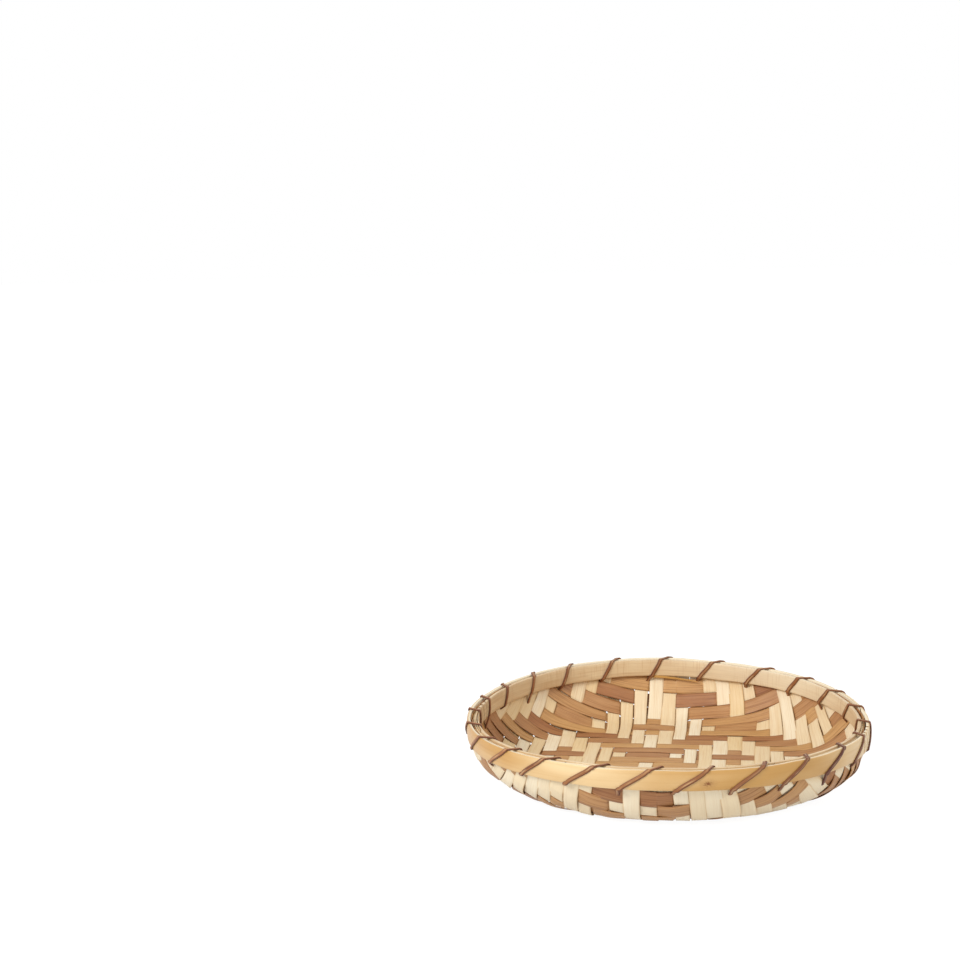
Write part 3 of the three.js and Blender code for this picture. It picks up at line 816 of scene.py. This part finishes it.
class Hoop:
    """A bamboo strip bent into a ring on edge, its ends shaved so that they lap no thicker than itself."""
    STEPS = 330
    LAYERS = 6
    CUT_ROWS = (0.0, 0.0001, 0.0005)
    IN_AND_OUT = 0.3
    FACE_WAVES = 2.2
    EDGE_WAVES = 5.5

    def __init__(self, rim, inner_radius, thickness, skin_outside, start, cuts_at):
        self.rim = rim
        self.start = start
        first = cuts_at - start - rim.cut_pitch * (rim.cut_count - 1) / 2
        self.cuts = [(first + n * rim.cut_pitch) % (2 * math.pi) for n in range(rim.cut_count)]
        self.cut_half = rim.cut_width / 2 / inner_radius
        self.inner = inner_radius
        self.thickness = thickness
        self.skin_outside = skin_outside
        self.scarf = rim.scarf / inner_radius
        self.foot = HOOP_FOOT + (0 if skin_outside else rim.inner_short)
        self.height = HOOP_TOP - self.foot
        self.seed = 3.0 if skin_outside else 11.0

    def faces_at(self, travel):
        """How far out of the inner radius the hoop's two faces lie."""
        turn = 2 * math.pi
        between = self.thickness - 2 * self.rim.scarf_tip - self.rim.seat
        if travel <= self.scarf + 1e-9:
            return 0.0, self.rim.scarf_tip + between * travel / self.scarf
        if travel >= turn - 1e-9:
            return self.rim.scarf_tip + self.rim.seat + between * (travel - turn) / self.scarf, self.thickness
        return 0.0, self.thickness

    def stations(self):
        """Rows along the hoop, with close ones at both sides of each cut."""
        rows = hoop_travels(self.scarf, self.STEPS)
        near = [self.cut_half + away / self.inner for away in self.CUT_ROWS]
        rows += [cut + way * away for cut in self.cuts for away in near for way in (-1, 1)]
        return sorted(rows)

    def in_cut(self, travel):
        return any(abs(travel - cut) <= self.cut_half * 1.001 for cut in self.cuts)

    def section(self, travel, depth, rise):
        low, high = self.faces_at(travel)
        if self.in_cut(travel):
            if self.skin_outside:
                high = min(high, self.thickness - self.rim.cut_depth)
            else:
                low = max(low, self.rim.cut_depth)
        share = depth / self.thickness
        bow = self.rim.crown * (2 * rise / self.height - 1) ** 2
        radius = self.inner + mix(low, high, share)
        radius += -bow * share if self.skin_outside else bow * (1 - share)
        wave = self.rim.unevenness * ripple(travel * self.FACE_WAVES, self.seed)
        lane = 4.0 * (rise > self.height / 2)
        edge = self.rim.unevenness * ripple(travel * self.EDGE_WAVES, self.seed, lane)
        return radius + self.IN_AND_OUT * wave, self.foot + rise + edge * abs(2 * rise / self.height - 1)

    def build(self, name, marks, tone):
        marks[CUT] = lambda travel, depth, rise: float(self.in_cut(travel))
        stations = self.stations()
        bar = long_bar(self.thickness, self.height, self.rim.edge, len(stations) - 1, self.LAYERS)
        return bent_round(name, bar, stations, self.start, self.section, tone, marks)


def settled(point):
    """The rim is sprung a little out of true, and every piece there shares the same small shift."""
    settings = bpy.context.scene.basket.rim
    arm = Vector((point.x - CENTRE.x, point.y - CENTRE.y, 0))
    if arm.length < 1e-6:
        return point
    way = arm.normalized()
    share = smooth(point.z / HOOP_FOOT)
    out = settings.sway * round_noise(way, *ROUND_WAVES)
    spring = settings.spring * (way.y ** 2 - way.x ** 2)
    up = spring + settings.sway * round_noise(way, *HEIGHT_WAVES)
    up -= settings.dip * lobes(way, DIPS)
    climbed = min(1.0, max(0.0, point.z / HOOP_FOOT))
    bulge = bpy.context.scene.basket.mat.belly * lobes(way, BELLIES) * 4 * climbed * (1 - climbed)
    return point + way * (out * share + bulge) + Vector((0, 0, up * share))


def round_noise(way, fineness, seed):
    """Noise that closes on itself round the rim."""
    return noise.noise(Vector((way.x * fineness, way.y * fineness, seed)))


def lobes(way, places):
    """The sum of soft peaks in some directions. Each place is its height, direction and spread in degrees."""
    angle = math.atan2(way.y, way.x)
    total = 0.0
    for height, at, wide in places:
        apart = math.remainder(angle - math.radians(at), 2 * math.pi)
        total += height * math.exp(-(apart / math.radians(wide)) ** 2)
    return total


def direction(angle):
    return Vector((math.cos(angle), math.sin(angle)))


class BASKET_OT_outer_hoop(bpy.types.Operator):
    """Bend the outer hoop, with its golden skin outside and its bamboo joints"""
    bl_idname = "basket.outer_hoop"
    bl_label = "Outer Hoop"
    JOINTS = (math.radians(-85), math.radians(33), math.radians(149))
    JOINT_WIDTH = 0.0022
    JOINT_RISE = 0.0003
    SCAR_SHARE = 0.36
    SKIN_FROM = 0.6
    SKIN_EASE = 0.35
    GOLDEN = ((math.radians(-73), math.radians(33)), (math.radians(-166), math.radians(33)))

    def execute(self, context):
        settings = context.scene.basket
        rim = settings.rim
        hoop = Hoop(
            rim, RIM_RADIUS - rim.outer_thickness, rim.outer_thickness, True, rim.outer_joint, rim.outer_cut)
        plain = hoop.section

        def joint(travel):
            """1 on a bamboo joint, falling away on both sides"""
            apart = [abs(math.remainder(rim.outer_joint + travel - at, 2 * math.pi)) for at in self.JOINTS]
            return math.exp(-(min(apart) * RIM_RADIUS / self.JOINT_WIDTH) ** 2)

        def section(travel, depth, rise):
            radius, height = plain(travel, depth, rise)
            return radius + self.JOINT_RISE * joint(travel) * depth / rim.outer_thickness, height

        hoop.section = section

        def golden(travel, depth, rise):
            """1 where the skin has kept its gold, falling away on both sides"""
            apart = [
                (math.remainder(rim.outer_joint + travel - at, 2 * math.pi) / half) ** 4
                for at, half in self.GOLDEN]
            return math.exp(-min(apart))

        def skin(travel, depth, rise):
            """0 inside the hoop and 1 on its outer face"""
            return smooth((depth / rim.outer_thickness - self.SKIN_FROM) / self.SKIN_EASE)

        marks = {
            GOLD: golden,
            SKIN: skin,
        }
        piece = hoop.build("outer_hoop_strip", marks, 0.5)
        around = (self.JOINTS[0] - rim.outer_joint) % (2 * math.pi)
        scar = (around * RIM_RADIUS, self.SCAR_SHARE * hoop.height)
        seat_piece(piece, skin_material(settings.finish, scar), "hoop_skin_bamboo", "outer_hoop")
        return {"FINISHED"}


class BASKET_OT_inner_hoop(bpy.types.Operator):
    """Bend the inner hoop, with its split face inside"""
    bl_idname = "basket.inner_hoop"
    bl_label = "Inner Hoop"

    def execute(self, context):
        settings = context.scene.basket
        rim = settings.rim
        hoop = Hoop(
            rim, INNER_HOOP_RADIUS - rim.inner_thickness, rim.inner_thickness, False, rim.inner_joint,
            rim.inner_cut)

        def golden(travel, depth, rise):
            # 1 less the painted light: low where the split face is painted paler at the back right
            return 1 - lobes(direction(rim.inner_joint + travel), LAMPLIT_STRETCH)

        piece = hoop.build("inner_hoop_strip", {GOLD: golden}, 0.5)
        seat_piece(piece, split_material(settings.finish), "hoop_split_bamboo", "inner_hoop")
        return {"FINISHED"}


class BASKET_OT_loose_splinter(bpy.types.Operator):
    """Let a golden splinter hang from the inner hoop's foot at the back"""
    bl_idname = "basket.loose_splinter"
    bl_label = "Loose Splinter"
    TIP = math.radians(74.3)
    ROOT = math.radians(90)
    STEPS = 32
    THICKNESS = 0.0006
    WIDTH = 0.0019
    EDGE = 0.00015
    SAG = 0.0034
    SAG_POWER = 1.4
    LEAN = 0.0012
    TAPER = 0.7

    def execute(self, context):
        rim = context.scene.basket.rim
        inner = INNER_HOOP_RADIUS - rim.inner_thickness + rim.edge
        foot = HOOP_FOOT + rim.inner_short + rim.edge
        span = self.ROOT - self.TIP

        def section(travel, depth, rise):
            """It grows out of the hoop at its root, and sinks and thins towards its tip."""
            away = 1 - travel / span
            height = foot - self.SAG * away ** self.SAG_POWER - rise * (1 - self.TAPER * away ** 2)
            return inner - self.LEAN * away + depth, height

        bar = long_bar(self.THICKNESS, self.WIDTH, self.EDGE, self.STEPS, 1)
        travels = [span * i / self.STEPS for i in range(self.STEPS + 1)]
        marks = {name: lambda travel, depth, rise: 1.0 for name in (GOLD, SKIN)}
        piece = bent_round("loose_splinter_strip", bar, travels, self.TIP, section, 0.5, marks)
        seat_piece(piece, bpy.data.materials["Hoop skin bamboo"], "hoop_skin_bamboo", "inner_hoop")
        return {"FINISHED"}


class BASKET_OT_filling_strip(bpy.types.Operator):
    """Lay the thin layers of the filling strip between the mat and the inner hoop"""
    bl_idname = "basket.filling_strip"
    bl_label = "Filling Strip"
    LAYERS = 3
    STEPS = 300
    GAP_SHARE = 0.18
    SHORTER = 2.5
    STAGGER = 0.02
    LOWER = 0.0003
    WAVY_TOP = 0.0007
    TOP_WAVES = 3.0
    STRAY = 0.00012
    STRAY_WAVES = 9.0
    FIRST_TONE = 0.35
    NEXT_TONE = 0.3

    def execute(self, context):
        settings = context.scene.basket
        rim = settings.rim
        material = splint_material(settings.finish, True)
        pitch = rim.strip_thickness / self.LAYERS
        thickness = pitch * (1 - self.GAP_SHARE)
        opening = rim.strip_opening / STRIP_RADIUS
        for layer in range(self.LAYERS):
            inner = STRIP_RADIUS - rim.strip_thickness + layer * pitch
            short = opening * (1 + self.SHORTER * layer)
            travels = [mix(0.0, 2 * math.pi - short, i / self.STEPS) for i in range(self.STEPS + 1)]

            def section(travel, depth, rise, inner=inner, layer=layer):
                seed = 5.0 + 7 * layer
                edge = self.WAVY_TOP * ripple(travel * self.TOP_WAVES, seed) - self.LOWER * layer
                stray = self.STRAY * ripple(travel * self.STRAY_WAVES, seed, 2.0)
                share = rise / (STRIP_TOP - STRIP_FOOT)
                return inner + depth + stray * share, STRIP_FOOT + rise + edge * share

            bar = long_bar(thickness, STRIP_TOP - STRIP_FOOT, 0.0, self.STEPS, 2)
            start = rim.strip_joint + short / 2 + self.STAGGER * layer
            tone = self.FIRST_TONE + self.NEXT_TONE * layer
            piece = bent_round(f"filling_layer_{layer + 1}", bar, travels, start, section, tone)
            seat_piece(piece, material, "pale_bamboo", "filling_strip")
        return {"FINISHED"}


def wrap_angle(lash, n):
    """Where wrap number n starts, at the foot of the outer hoop."""
    even = lash.first + n * 2 * math.pi / lash.wraps
    past = (even - lash.crowded_at) / lash.crowded_span
    return even + lash.crowding * math.cos(past * math.pi / 2) ** 2 if abs(past) < 1 else even


def cane_corners(rim, lash):
    """The four corners of the hoops that a wrap turns round, each as radius, height and lean."""
    inset = rim.crown + rim.edge
    outer = RIM_RADIUS - inset
    inner = INNER_HOOP_RADIUS - rim.inner_thickness + inset
    top = HOOP_TOP - rim.edge
    over = lash.outside_lean + lash.top_lean
    return [
        (outer, HOOP_FOOT + rim.edge, 0.0),
        (outer, top, lash.outside_lean),
        (inner, top, over),
        (inner, HOOP_FOOT + rim.inner_short + rim.edge, over + lash.inside_lean),
    ]


def cane_turns(settings):
    """Every corner that the cane turns round, in order, as angle, radius and height."""
    rim, lash = settings.rim, settings.lashing
    bowl = Bowl(settings.mat)
    draws = random.Random(lash.seed)
    corners = cane_corners(rim, lash)
    turns = []
    left = wrap_angle(lash, 0) - FIRST_LEAN * lash.inside_lean
    for n in range(lash.wraps):
        start = wrap_angle(lash, n)
        height = HOOP_FOOT - mix(lash.least_drop, lash.most_drop, draws.random() ** HIGH_SLITS)
        turns.append(((left + start) / 2 + draws.uniform(-1, 1) * lash.stray, bowl.radius_at(height), height))
        for radius, corner_height, lean in corners:
            stray = draws.uniform(-1, 1) * lash.stray if lean else 0.0
            if lean == corners[3][2]:
                lean += lash.right_lean * math.cos(start + lean)
            left = start + lean + stray
            turns.append((left, radius, corner_height))
    return turns


def cane_route(settings):
    """The cane's middle line as (angle, radius, height, facing), from its first end to its last."""
    rim, lash = settings.rim, settings.lashing
    bend = rim.edge + lash.stand + lash.thickness / 2
    turns = cane_turns(settings)

    def faced(here, there):
        return math.atan2(here[1] - there[1], there[2] - here[2])

    route = []
    facing = faced(turns[0], turns[1])
    for i, (angle, radius, height) in enumerate(turns):
        after = faced(turns[i], turns[i + 1]) if i + 1 < len(turns) else facing
        turned = (after - facing + math.pi) % (2 * math.pi) - math.pi
        for k in range(lash.corner_steps + 1):
            now = facing + turned * k / lash.corner_steps
            route.append((angle, radius + bend * math.cos(now), height + bend * math.sin(now), now))
        facing += turned
        if i + 1 == len(turns):
            break
        here = route[-1]
        angle, radius, height = turns[i + 1]
        there = (angle, radius + bend * math.cos(facing), height + bend * math.sin(facing), facing)
        run = CANE_RUNS[i % len(CANE_RUNS)]
        for k in range(1, run):
            angle, radius, height, now = (mix(a, b, k / run) for a, b in zip(here, there))
            rise = min(1.0, max(0.0, (height - HOOP_FOOT) / (HOOP_TOP - HOOP_FOOT)))
            swell = rim.crown * (1 - (2 * rise - 1) ** 2) * math.cos(now)
            route.append((angle, radius + swell, height, now))
    return route


class BASKET_OT_cane_lashing(bpy.types.Operator):
    """Wind the cane round the rim, in one piece"""
    bl_idname = "basket.cane_lashing"
    bl_label = "Cane Lashing"
    SIDES = 12
    UNEVEN = 0.07
    UNEVEN_LENGTH = 0.03
    STRAY = 0.0002
    STRAY_LENGTH = 0.02
    SIDE_FULLNESS = 0.8
    DOME_FULLNESS = 0.9
    DOME_FALL = 0.4
    USUAL_TONE = 0.4
    TONE_STRAY = 0.3

    def execute(self, context):
        settings = context.scene.basket
        lash = settings.lashing
        route = cane_route(settings)
        angles = [stop[0] for stop in route]
        for _ in range(lash.smoothing):
            inner = [(a + 2 * b + c) / 4 for a, b, c in zip(angles, angles[1:], angles[2:])]
            angles = [angles[0], *inner, angles[-1]]
        line = [
            Vector((CENTRE.x + radius * math.cos(angle), CENTRE.y + radius * math.sin(angle), height))
            for angle, (_, radius, height, _) in zip(angles, route)]
        lengths = [0.0]
        for here, there in zip(line, line[1:]):
            lengths.append(lengths[-1] + (there - here).length)
        tube = bmesh.new()
        bmesh.ops.create_cone(
            tube, cap_ends=True, cap_tris=False, segments=self.SIDES, radius1=1.0, radius2=1.0, depth=1.0)
        climbing = [edge for edge in tube.edges if abs(edge.verts[0].co.z - edge.verts[1].co.z) > 0.5]
        bmesh.ops.subdivide_edges(tube, edges=climbing, cuts=len(route) - 2, use_grid_fill=True)
        tube.verts.index_update()
        spots = {}
        for vertex in tube.verts:
            row = round((vertex.co.z + 0.5) * (len(route) - 1))
            over, out = self.flattened(vertex.co)
            along = (line[min(row + 1, len(line) - 1)] - line[max(row - 1, 0)]).normalized()
            facing, angle = route[row][3], angles[row]
            outwards = Vector((
                math.cos(facing) * math.cos(angle), math.cos(facing) * math.sin(angle), math.sin(facing)))
            outwards = (outwards - along * outwards.dot(along)).normalized()
            sideways = along.cross(outwards)
            place = lengths[row]
            width = lash.width * (1 + self.UNEVEN * ripple(place / self.UNEVEN_LENGTH, 1.0))
            stray = self.STRAY * ripple(place / self.STRAY_LENGTH, 6.0)
            spots[vertex.index] = (place, over * width / 2)
            vertex.co = settled(
                line[row] + sideways * (over * width / 2 + stray) + outwards * out * lash.thickness / 2)
        bmesh.ops.recalc_face_normals(tube, faces=tube.faces[:])
        piece = wood_mesh("cane_lashing_strip", tube, lambda face, vertex: spots[vertex.index], self.tone_at)
        seat_piece(piece, cane_material(settings.finish, lash.width), "cane", "cane_lashing")
        return {"FINISHED"}

    def tone_at(self, point):
        """How dark the cane is painted: painted shade most at the front right, painted light at the front
        left where the key lamp falls, a little darker at the back, with some random tone of the cane's own.
        """
        way = Vector((point.x - CENTRE.x, point.y - CENTRE.y)).normalized()
        return self.USUAL_TONE + lobes(way, CANE_LIGHT_AND_SHADE) + self.TONE_STRAY * round_noise(way, *CANE_WAVES)

    def flattened(self, point):
        """A round section made flat below and domed above, as its sideways and outwards shares."""
        over = math.copysign(abs(point.x) ** self.SIDE_FULLNESS, point.x)
        out = math.copysign(abs(point.y) ** self.DOME_FULLNESS, point.y)
        return over, out * (1 - self.DOME_FALL * over * over) if out > 0 else out


def skin_material(finish, scar):
    """The outer hoop: satin skin, golden in places and cream elsewhere, with one brown scar."""
    material, nodes, shader = new_material("Hoop skin bamboo", 0.38, 0.5)
    grain = fibre_nodes(nodes, 0.55)
    skin = nodes.mark(SKIN)
    patch = nodes.range(grain["Patches"], 0.3, 0.7, -0.3, 0.3)
    share = nodes.maths("ADD", nodes.mark(GOLD), patch, clamp=True)
    colour = nodes.blend(share, opaque(finish.skin_pale), opaque(finish.skin))
    colour = nodes.tinted(colour, nodes.range(grain["Streaks"], 0.52, 0.75), 0.35, SKIN_DEPTH)
    colour = nodes.blend(skin, opaque(finish.pale_light), colour)
    colour = nodes.blend(scar_mask(nodes, scar), colour, opaque(finish.scar), "MULTIPLY")
    nodes.set(shader.inputs["Base Color"], dirty_shaded_cuts(nodes, colour, finish))
    nodes.set(shader.inputs["Roughness"], nodes.range(skin, 0.0, 1.0, 0.62, 0.36))
    bump(nodes, shader, grain["Fibres"], 0.00005, 0.35)
    return material


def scar_mask(nodes, scar):
    """A small ragged spot with a fainter ring, at a place on the fibre map."""
    here = nodes.fibre_map()
    apart = nodes.add("ShaderNodeVectorMath", {0: here, 1: (*scar, 0.0)}, operation="SUBTRACT").outputs[0]
    longer = nodes.stretch(apart, 0.55, 1.0)
    away = nodes.add("ShaderNodeVectorMath", {0: longer}, operation="LENGTH").outputs["Value"]
    ragged = nodes.maths("MULTIPLY", nodes.noise(nodes.stretch(here, 700, 1100), detail=3.0), 0.0055)
    away = nodes.maths("ADD", away, nodes.maths("SUBTRACT", ragged, 0.00275))
    spot = nodes.range(away, 0.0, 0.0017, 0.8, 0.0)
    ring = nodes.range(away, 0.0, 0.0044, 0.35, 0.0)
    return nodes.maths("ADD", spot, ring)


def dirty_shaded_cuts(nodes, colour, finish):
    """The brown in a hoop's cuts, over its colour: partly dirt, partly painted shade in the narrow recess."""
    name = "Cut Stain"
    group = bpy.data.node_groups.get(name)
    if not group:
        group = new_group(
            name, [("Colour", "colour"), ("Cut", "value"), ("Dirt and Shade", "colour")], [("Colour", "colour")])
        inner = Nodes(group)
        entry = inner.add("NodeGroupInput").outputs
        # Partly dirt, partly painted shade: the colour darkens towards the tint inside a cut
        share = inner.maths("MULTIPLY", entry["Cut"], 0.9)
        dirtied_and_shaded = inner.blend(share, entry["Colour"], entry["Dirt and Shade"], "MULTIPLY")
        inner.add("NodeGroupOutput", {"Colour": dirtied_and_shaded})
    inputs = {"Colour": colour, "Cut": nodes.mark(CUT), "Dirt and Shade": opaque(finish.cut_dirt_and_shade)}
    return placed_group(nodes, group, inputs)["Colour"]


def split_material(finish):
    """The inner hoop: a split face with long brown fibre lines and short ticks across, with painted light
    making it paler at the back right.
    """
    material, nodes, shader = new_material("Hoop split bamboo", 0.42, 0.6)
    grain = fibre_nodes(nodes, 0.8)
    patch = nodes.range(grain["Patches"], 0.3, 0.7)
    colour = nodes.blend(patch, opaque(finish.split), opaque(finish.pale))
    line = nodes.range(grain["Streaks"], 0.48, 0.68)
    colour = nodes.blend(nodes.maths("MULTIPLY", line, 0.45), colour, opaque(finish.split_line))
    # Painted light: the split face turns towards the palest straw where the gold mark is low, at the back
    # right that faces the key lamp
    lamplit = nodes.range(nodes.mark(GOLD), 0.0, 1.0, 0.65, 0.0)
    colour = nodes.blend(lamplit, colour, opaque(finish.pale_light))
    colour = nodes.tinted(colour, nodes.range(grain["Fibres"], 0.4, 0.75), 0.4, SPLIT_DEPTH)
    here = nodes.fibre_map()
    tick = nodes.range(nodes.noise(nodes.stretch(here, 950, 45, 5.0), detail=1.0), 0.52, 0.66)
    ticked = nodes.range(nodes.noise(nodes.stretch(here, 26, 40, 9.0), detail=1.0), 0.46, 0.60, 0.0, 0.4)
    colour = nodes.blend(nodes.maths("MULTIPLY", tick, ticked), colour, opaque(finish.split_line))
    nodes.set(shader.inputs["Base Color"], dirty_shaded_cuts(nodes, colour, finish))
    bump(nodes, shader, grain["Fibres"], 0.0001)
    return material


def cane_material(finish, width):
    """Reddish cane, with painted shade at both edges and a painted highlight along the middle, and darker
    stretches of its own.
    """
    material, nodes, shader = new_material("Cane", 0.5, 0.35)
    grain = fibre_nodes(nodes, 0.9)
    here = nodes.fibre_map()
    across = nodes.add("ShaderNodeSeparateXYZ", {0: here}).outputs["Y"]
    # Painted shade and highlight are laid out from a line a little off the cane's middle, as if lit from one
    # side
    aside = nodes.maths("ABSOLUTE", nodes.maths("ADD", across, width * 0.06))
    edge = nodes.range(aside, width * 0.2, width * 0.42)
    patch = nodes.range(grain["Patches"], 0.35, 0.7)
    # The darkening gathers the painted shade at the edges with the cane's own darker patches and streaks
    shade = nodes.maths("MAXIMUM", nodes.maths("MULTIPLY", edge, 0.85), nodes.maths("MULTIPLY", patch, 0.5))
    line = nodes.range(grain["Streaks"], 0.5, 0.7)
    shade = nodes.maths("MAXIMUM", shade, nodes.maths("MULTIPLY", line, 0.7))
    # The tone mark adds the painted shade and light round the rim, with random tone of the cane's own
    shade = nodes.maths("MAXIMUM", shade, nodes.maths("MULTIPLY", nodes.mark(TONE), 0.8), clamp=True)
    colour = nodes.blend(shade, opaque(finish.cane), opaque(finish.cane_edge))
    # Painted highlight: a glinting pale core along the middle of the cane
    glint = nodes.range(nodes.noise(nodes.stretch(here, 90, 500, 2.0), detail=1.0), 0.42, 0.62, 0.0, 0.5)
    core = nodes.range(aside, width * 0.04, width * 0.18, 1.0, 0.0)
    colour = nodes.blend(nodes.maths("MULTIPLY", core, glint), colour, opaque(finish.skin_pale))
    nodes.set(shader.inputs["Base Color"], colour)
    bump(nodes, shader, grain["Fibres"], 0.00012)
    return material


class BASKET_OT_studio(bpy.types.Operator):
    """Set up the camera, the lamps, the white surroundings and the floor"""
    bl_idname = "basket.studio"
    bl_label = "Studio"
    FLOOR_SIZE = 12.0
    FLOOR_WHITE = 1.03
    SHADE_LIGHT = 0.55
    KEY_LAMP = ((-1.25, -1.1, 1.3), 0.7)
    FILL_LAMP = ((1.3, -1.0, 1.2), 1.2)

    def execute(self, context):
        studio = context.scene.basket.studio
        context.scene.view_settings.view_transform = "Standard"
        self.place_camera(context.scene, studio)
        self.hang_lamp("Key lamp", *self.KEY_LAMP, studio.key)
        self.hang_lamp("Fill lamp", *self.FILL_LAMP, studio.fill)
        self.paint_world(context.scene, studio)
        self.lay_floor(studio)
        return {"FINISHED"}

    def place_camera(self, scene, studio):
        camera = bpy.data.objects.new("Camera", bpy.data.cameras.new("Camera"))
        camera.data.lens = studio.lens
        camera.data.clip_end = 50
        ahead = Vector((0, math.cos(studio.pitch), -math.sin(studio.pitch)))
        level_up = Vector((0, math.sin(studio.pitch), math.cos(studio.pitch)))
        level_right = Vector((1, 0, 0))
        right = level_right * math.cos(studio.roll) + level_up * math.sin(studio.roll)
        up = level_up * math.cos(studio.roll) - level_right * math.sin(studio.roll)
        turned = Matrix((right, up, -ahead)).transposed().to_4x4()
        eye = Vector((CENTRE.x, CENTRE.y, HOOP_TOP)) + Vector(studio.eye)
        camera.matrix_world = Matrix.Translation(eye) @ turned
        scene.collection.objects.link(camera)
        scene.camera = camera

    def hang_lamp(self, name, place, size, power):
        lamp = bpy.data.objects.new(name, bpy.data.lights.new(name, "AREA"))
        lamp.data.size = size
        lamp.data.energy = power
        lamp.location = place
        lamp.rotation_euler = (CENTRE - Vector(place)).to_track_quat("-Z", "Y").to_euler()
        bpy.context.scene.collection.objects.link(lamp)

    def seen_directly(self, nodes):
        """1 for rays from the camera, and for those that gloss mirrors or glass lets through."""
        rays = nodes.add("ShaderNodeLightPath").outputs
        seen = nodes.maths("MAXIMUM", rays["Is Camera Ray"], rays["Is Glossy Ray"])
        return nodes.maths("MAXIMUM", seen, rays["Is Transmission Ray"])

    def paint_world(self, scene, studio):
        scene.world = bpy.data.worlds.new("White surroundings")
        scene.world.use_nodes = True
        nodes = Nodes(scene.world.node_tree)
        strength = nodes.range(self.seen_directly(nodes), 0.0, 1.0, studio.ambient, 1.0)
        backdrop = scene.world.node_tree.nodes["Background"]
        backdrop.inputs["Color"].default_value = (1.0, 1.0, 1.0, 1.0)
        nodes.set(backdrop.inputs["Strength"], strength)

    def lay_floor(self, studio):
        sheet = bmesh.new()
        bmesh.ops.create_grid(sheet, x_segments=1, y_segments=1, size=self.FLOOR_SIZE / 2)
        mesh = bpy.data.meshes.new("studio_floor")
        sheet.to_mesh(mesh)
        sheet.free()
        floor = bpy.data.objects.new("studio_floor", mesh)
        bpy.context.scene.collection.objects.link(floor)
        material = bpy.data.materials.new("White floor")
        material.use_nodes = True
        tree = material.node_tree
        tree.nodes.remove(tree.nodes["Principled BSDF"])
        nodes = Nodes(tree)
        seen = self.seen_directly(nodes)
        bounce = nodes.add("ShaderNodeBsdfDiffuse", {"Color": opaque((studio.floor,) * 3)})
        shade = nodes.add("ShaderNodeBsdfDiffuse", {"Color": opaque((studio.shadow,) * 3)})
        glow = self.FLOOR_WHITE - studio.shadow * self.SHADE_LIGHT
        white = nodes.add("ShaderNodeEmission", {"Strength": glow})
        lit = nodes.add("ShaderNodeAddShader", {0: shade.outputs[0], 1: white.outputs[0]})
        surface = nodes.add("ShaderNodeMixShader", {0: seen, 1: bounce.outputs[0], 2: lit.outputs[0]})
        nodes.set(tree.nodes["Material Output"].inputs["Surface"], surface.outputs[0])
        mesh.materials.append(material)


class BASKET_PT_panel(bpy.types.Panel):
    """Lists the pieces of the basket and their settings"""
    bl_idname = "BASKET_PT_panel"
    bl_label = "Woven Basket"
    bl_space_type = "VIEW_3D"
    bl_region_type = "UI"
    bl_category = "Basket"

    def draw(self, context):
        settings = context.scene.basket
        for operator in OPERATORS:
            self.layout.operator(operator.bl_idname)
        for group in (settings.mat, settings.rim, settings.lashing, settings.finish, settings.studio):
            box = self.layout.box()
            box.label(text=group.bl_rna.name)
            for name in group.__annotations__:
                box.prop(group, name)


OPERATORS = (
    BASKET_OT_studio,
    BASKET_OT_pale_splints,
    BASKET_OT_dark_splints,
    BASKET_OT_filling_strip,
    BASKET_OT_inner_hoop,
    BASKET_OT_outer_hoop,
    BASKET_OT_loose_splinter,
    BASKET_OT_cane_lashing,
)
GROUPS = (MatSettings, RimSettings, LashingSettings, FinishSettings, StudioSettings, BasketSettings)


def register():
    for cls in (*GROUPS, *OPERATORS, BASKET_PT_panel):
        bpy.utils.register_class(cls)
    bpy.types.Scene.basket = PointerProperty(type=BasketSettings)


def unregister():
    del bpy.types.Scene.basket
    for cls in reversed((*GROUPS, *OPERATORS, BASKET_PT_panel)):
        bpy.utils.unregister_class(cls)


def main():
    register()
    bpy.ops.basket.studio()
    bpy.ops.basket.pale_splints()
    bpy.ops.basket.dark_splints()
    bpy.ops.basket.filling_strip()
    bpy.ops.basket.inner_hoop()
    bpy.ops.basket.outer_hoop()
    bpy.ops.basket.loose_splinter()
    bpy.ops.basket.cane_lashing()


if __name__ == "__main__":
    main()
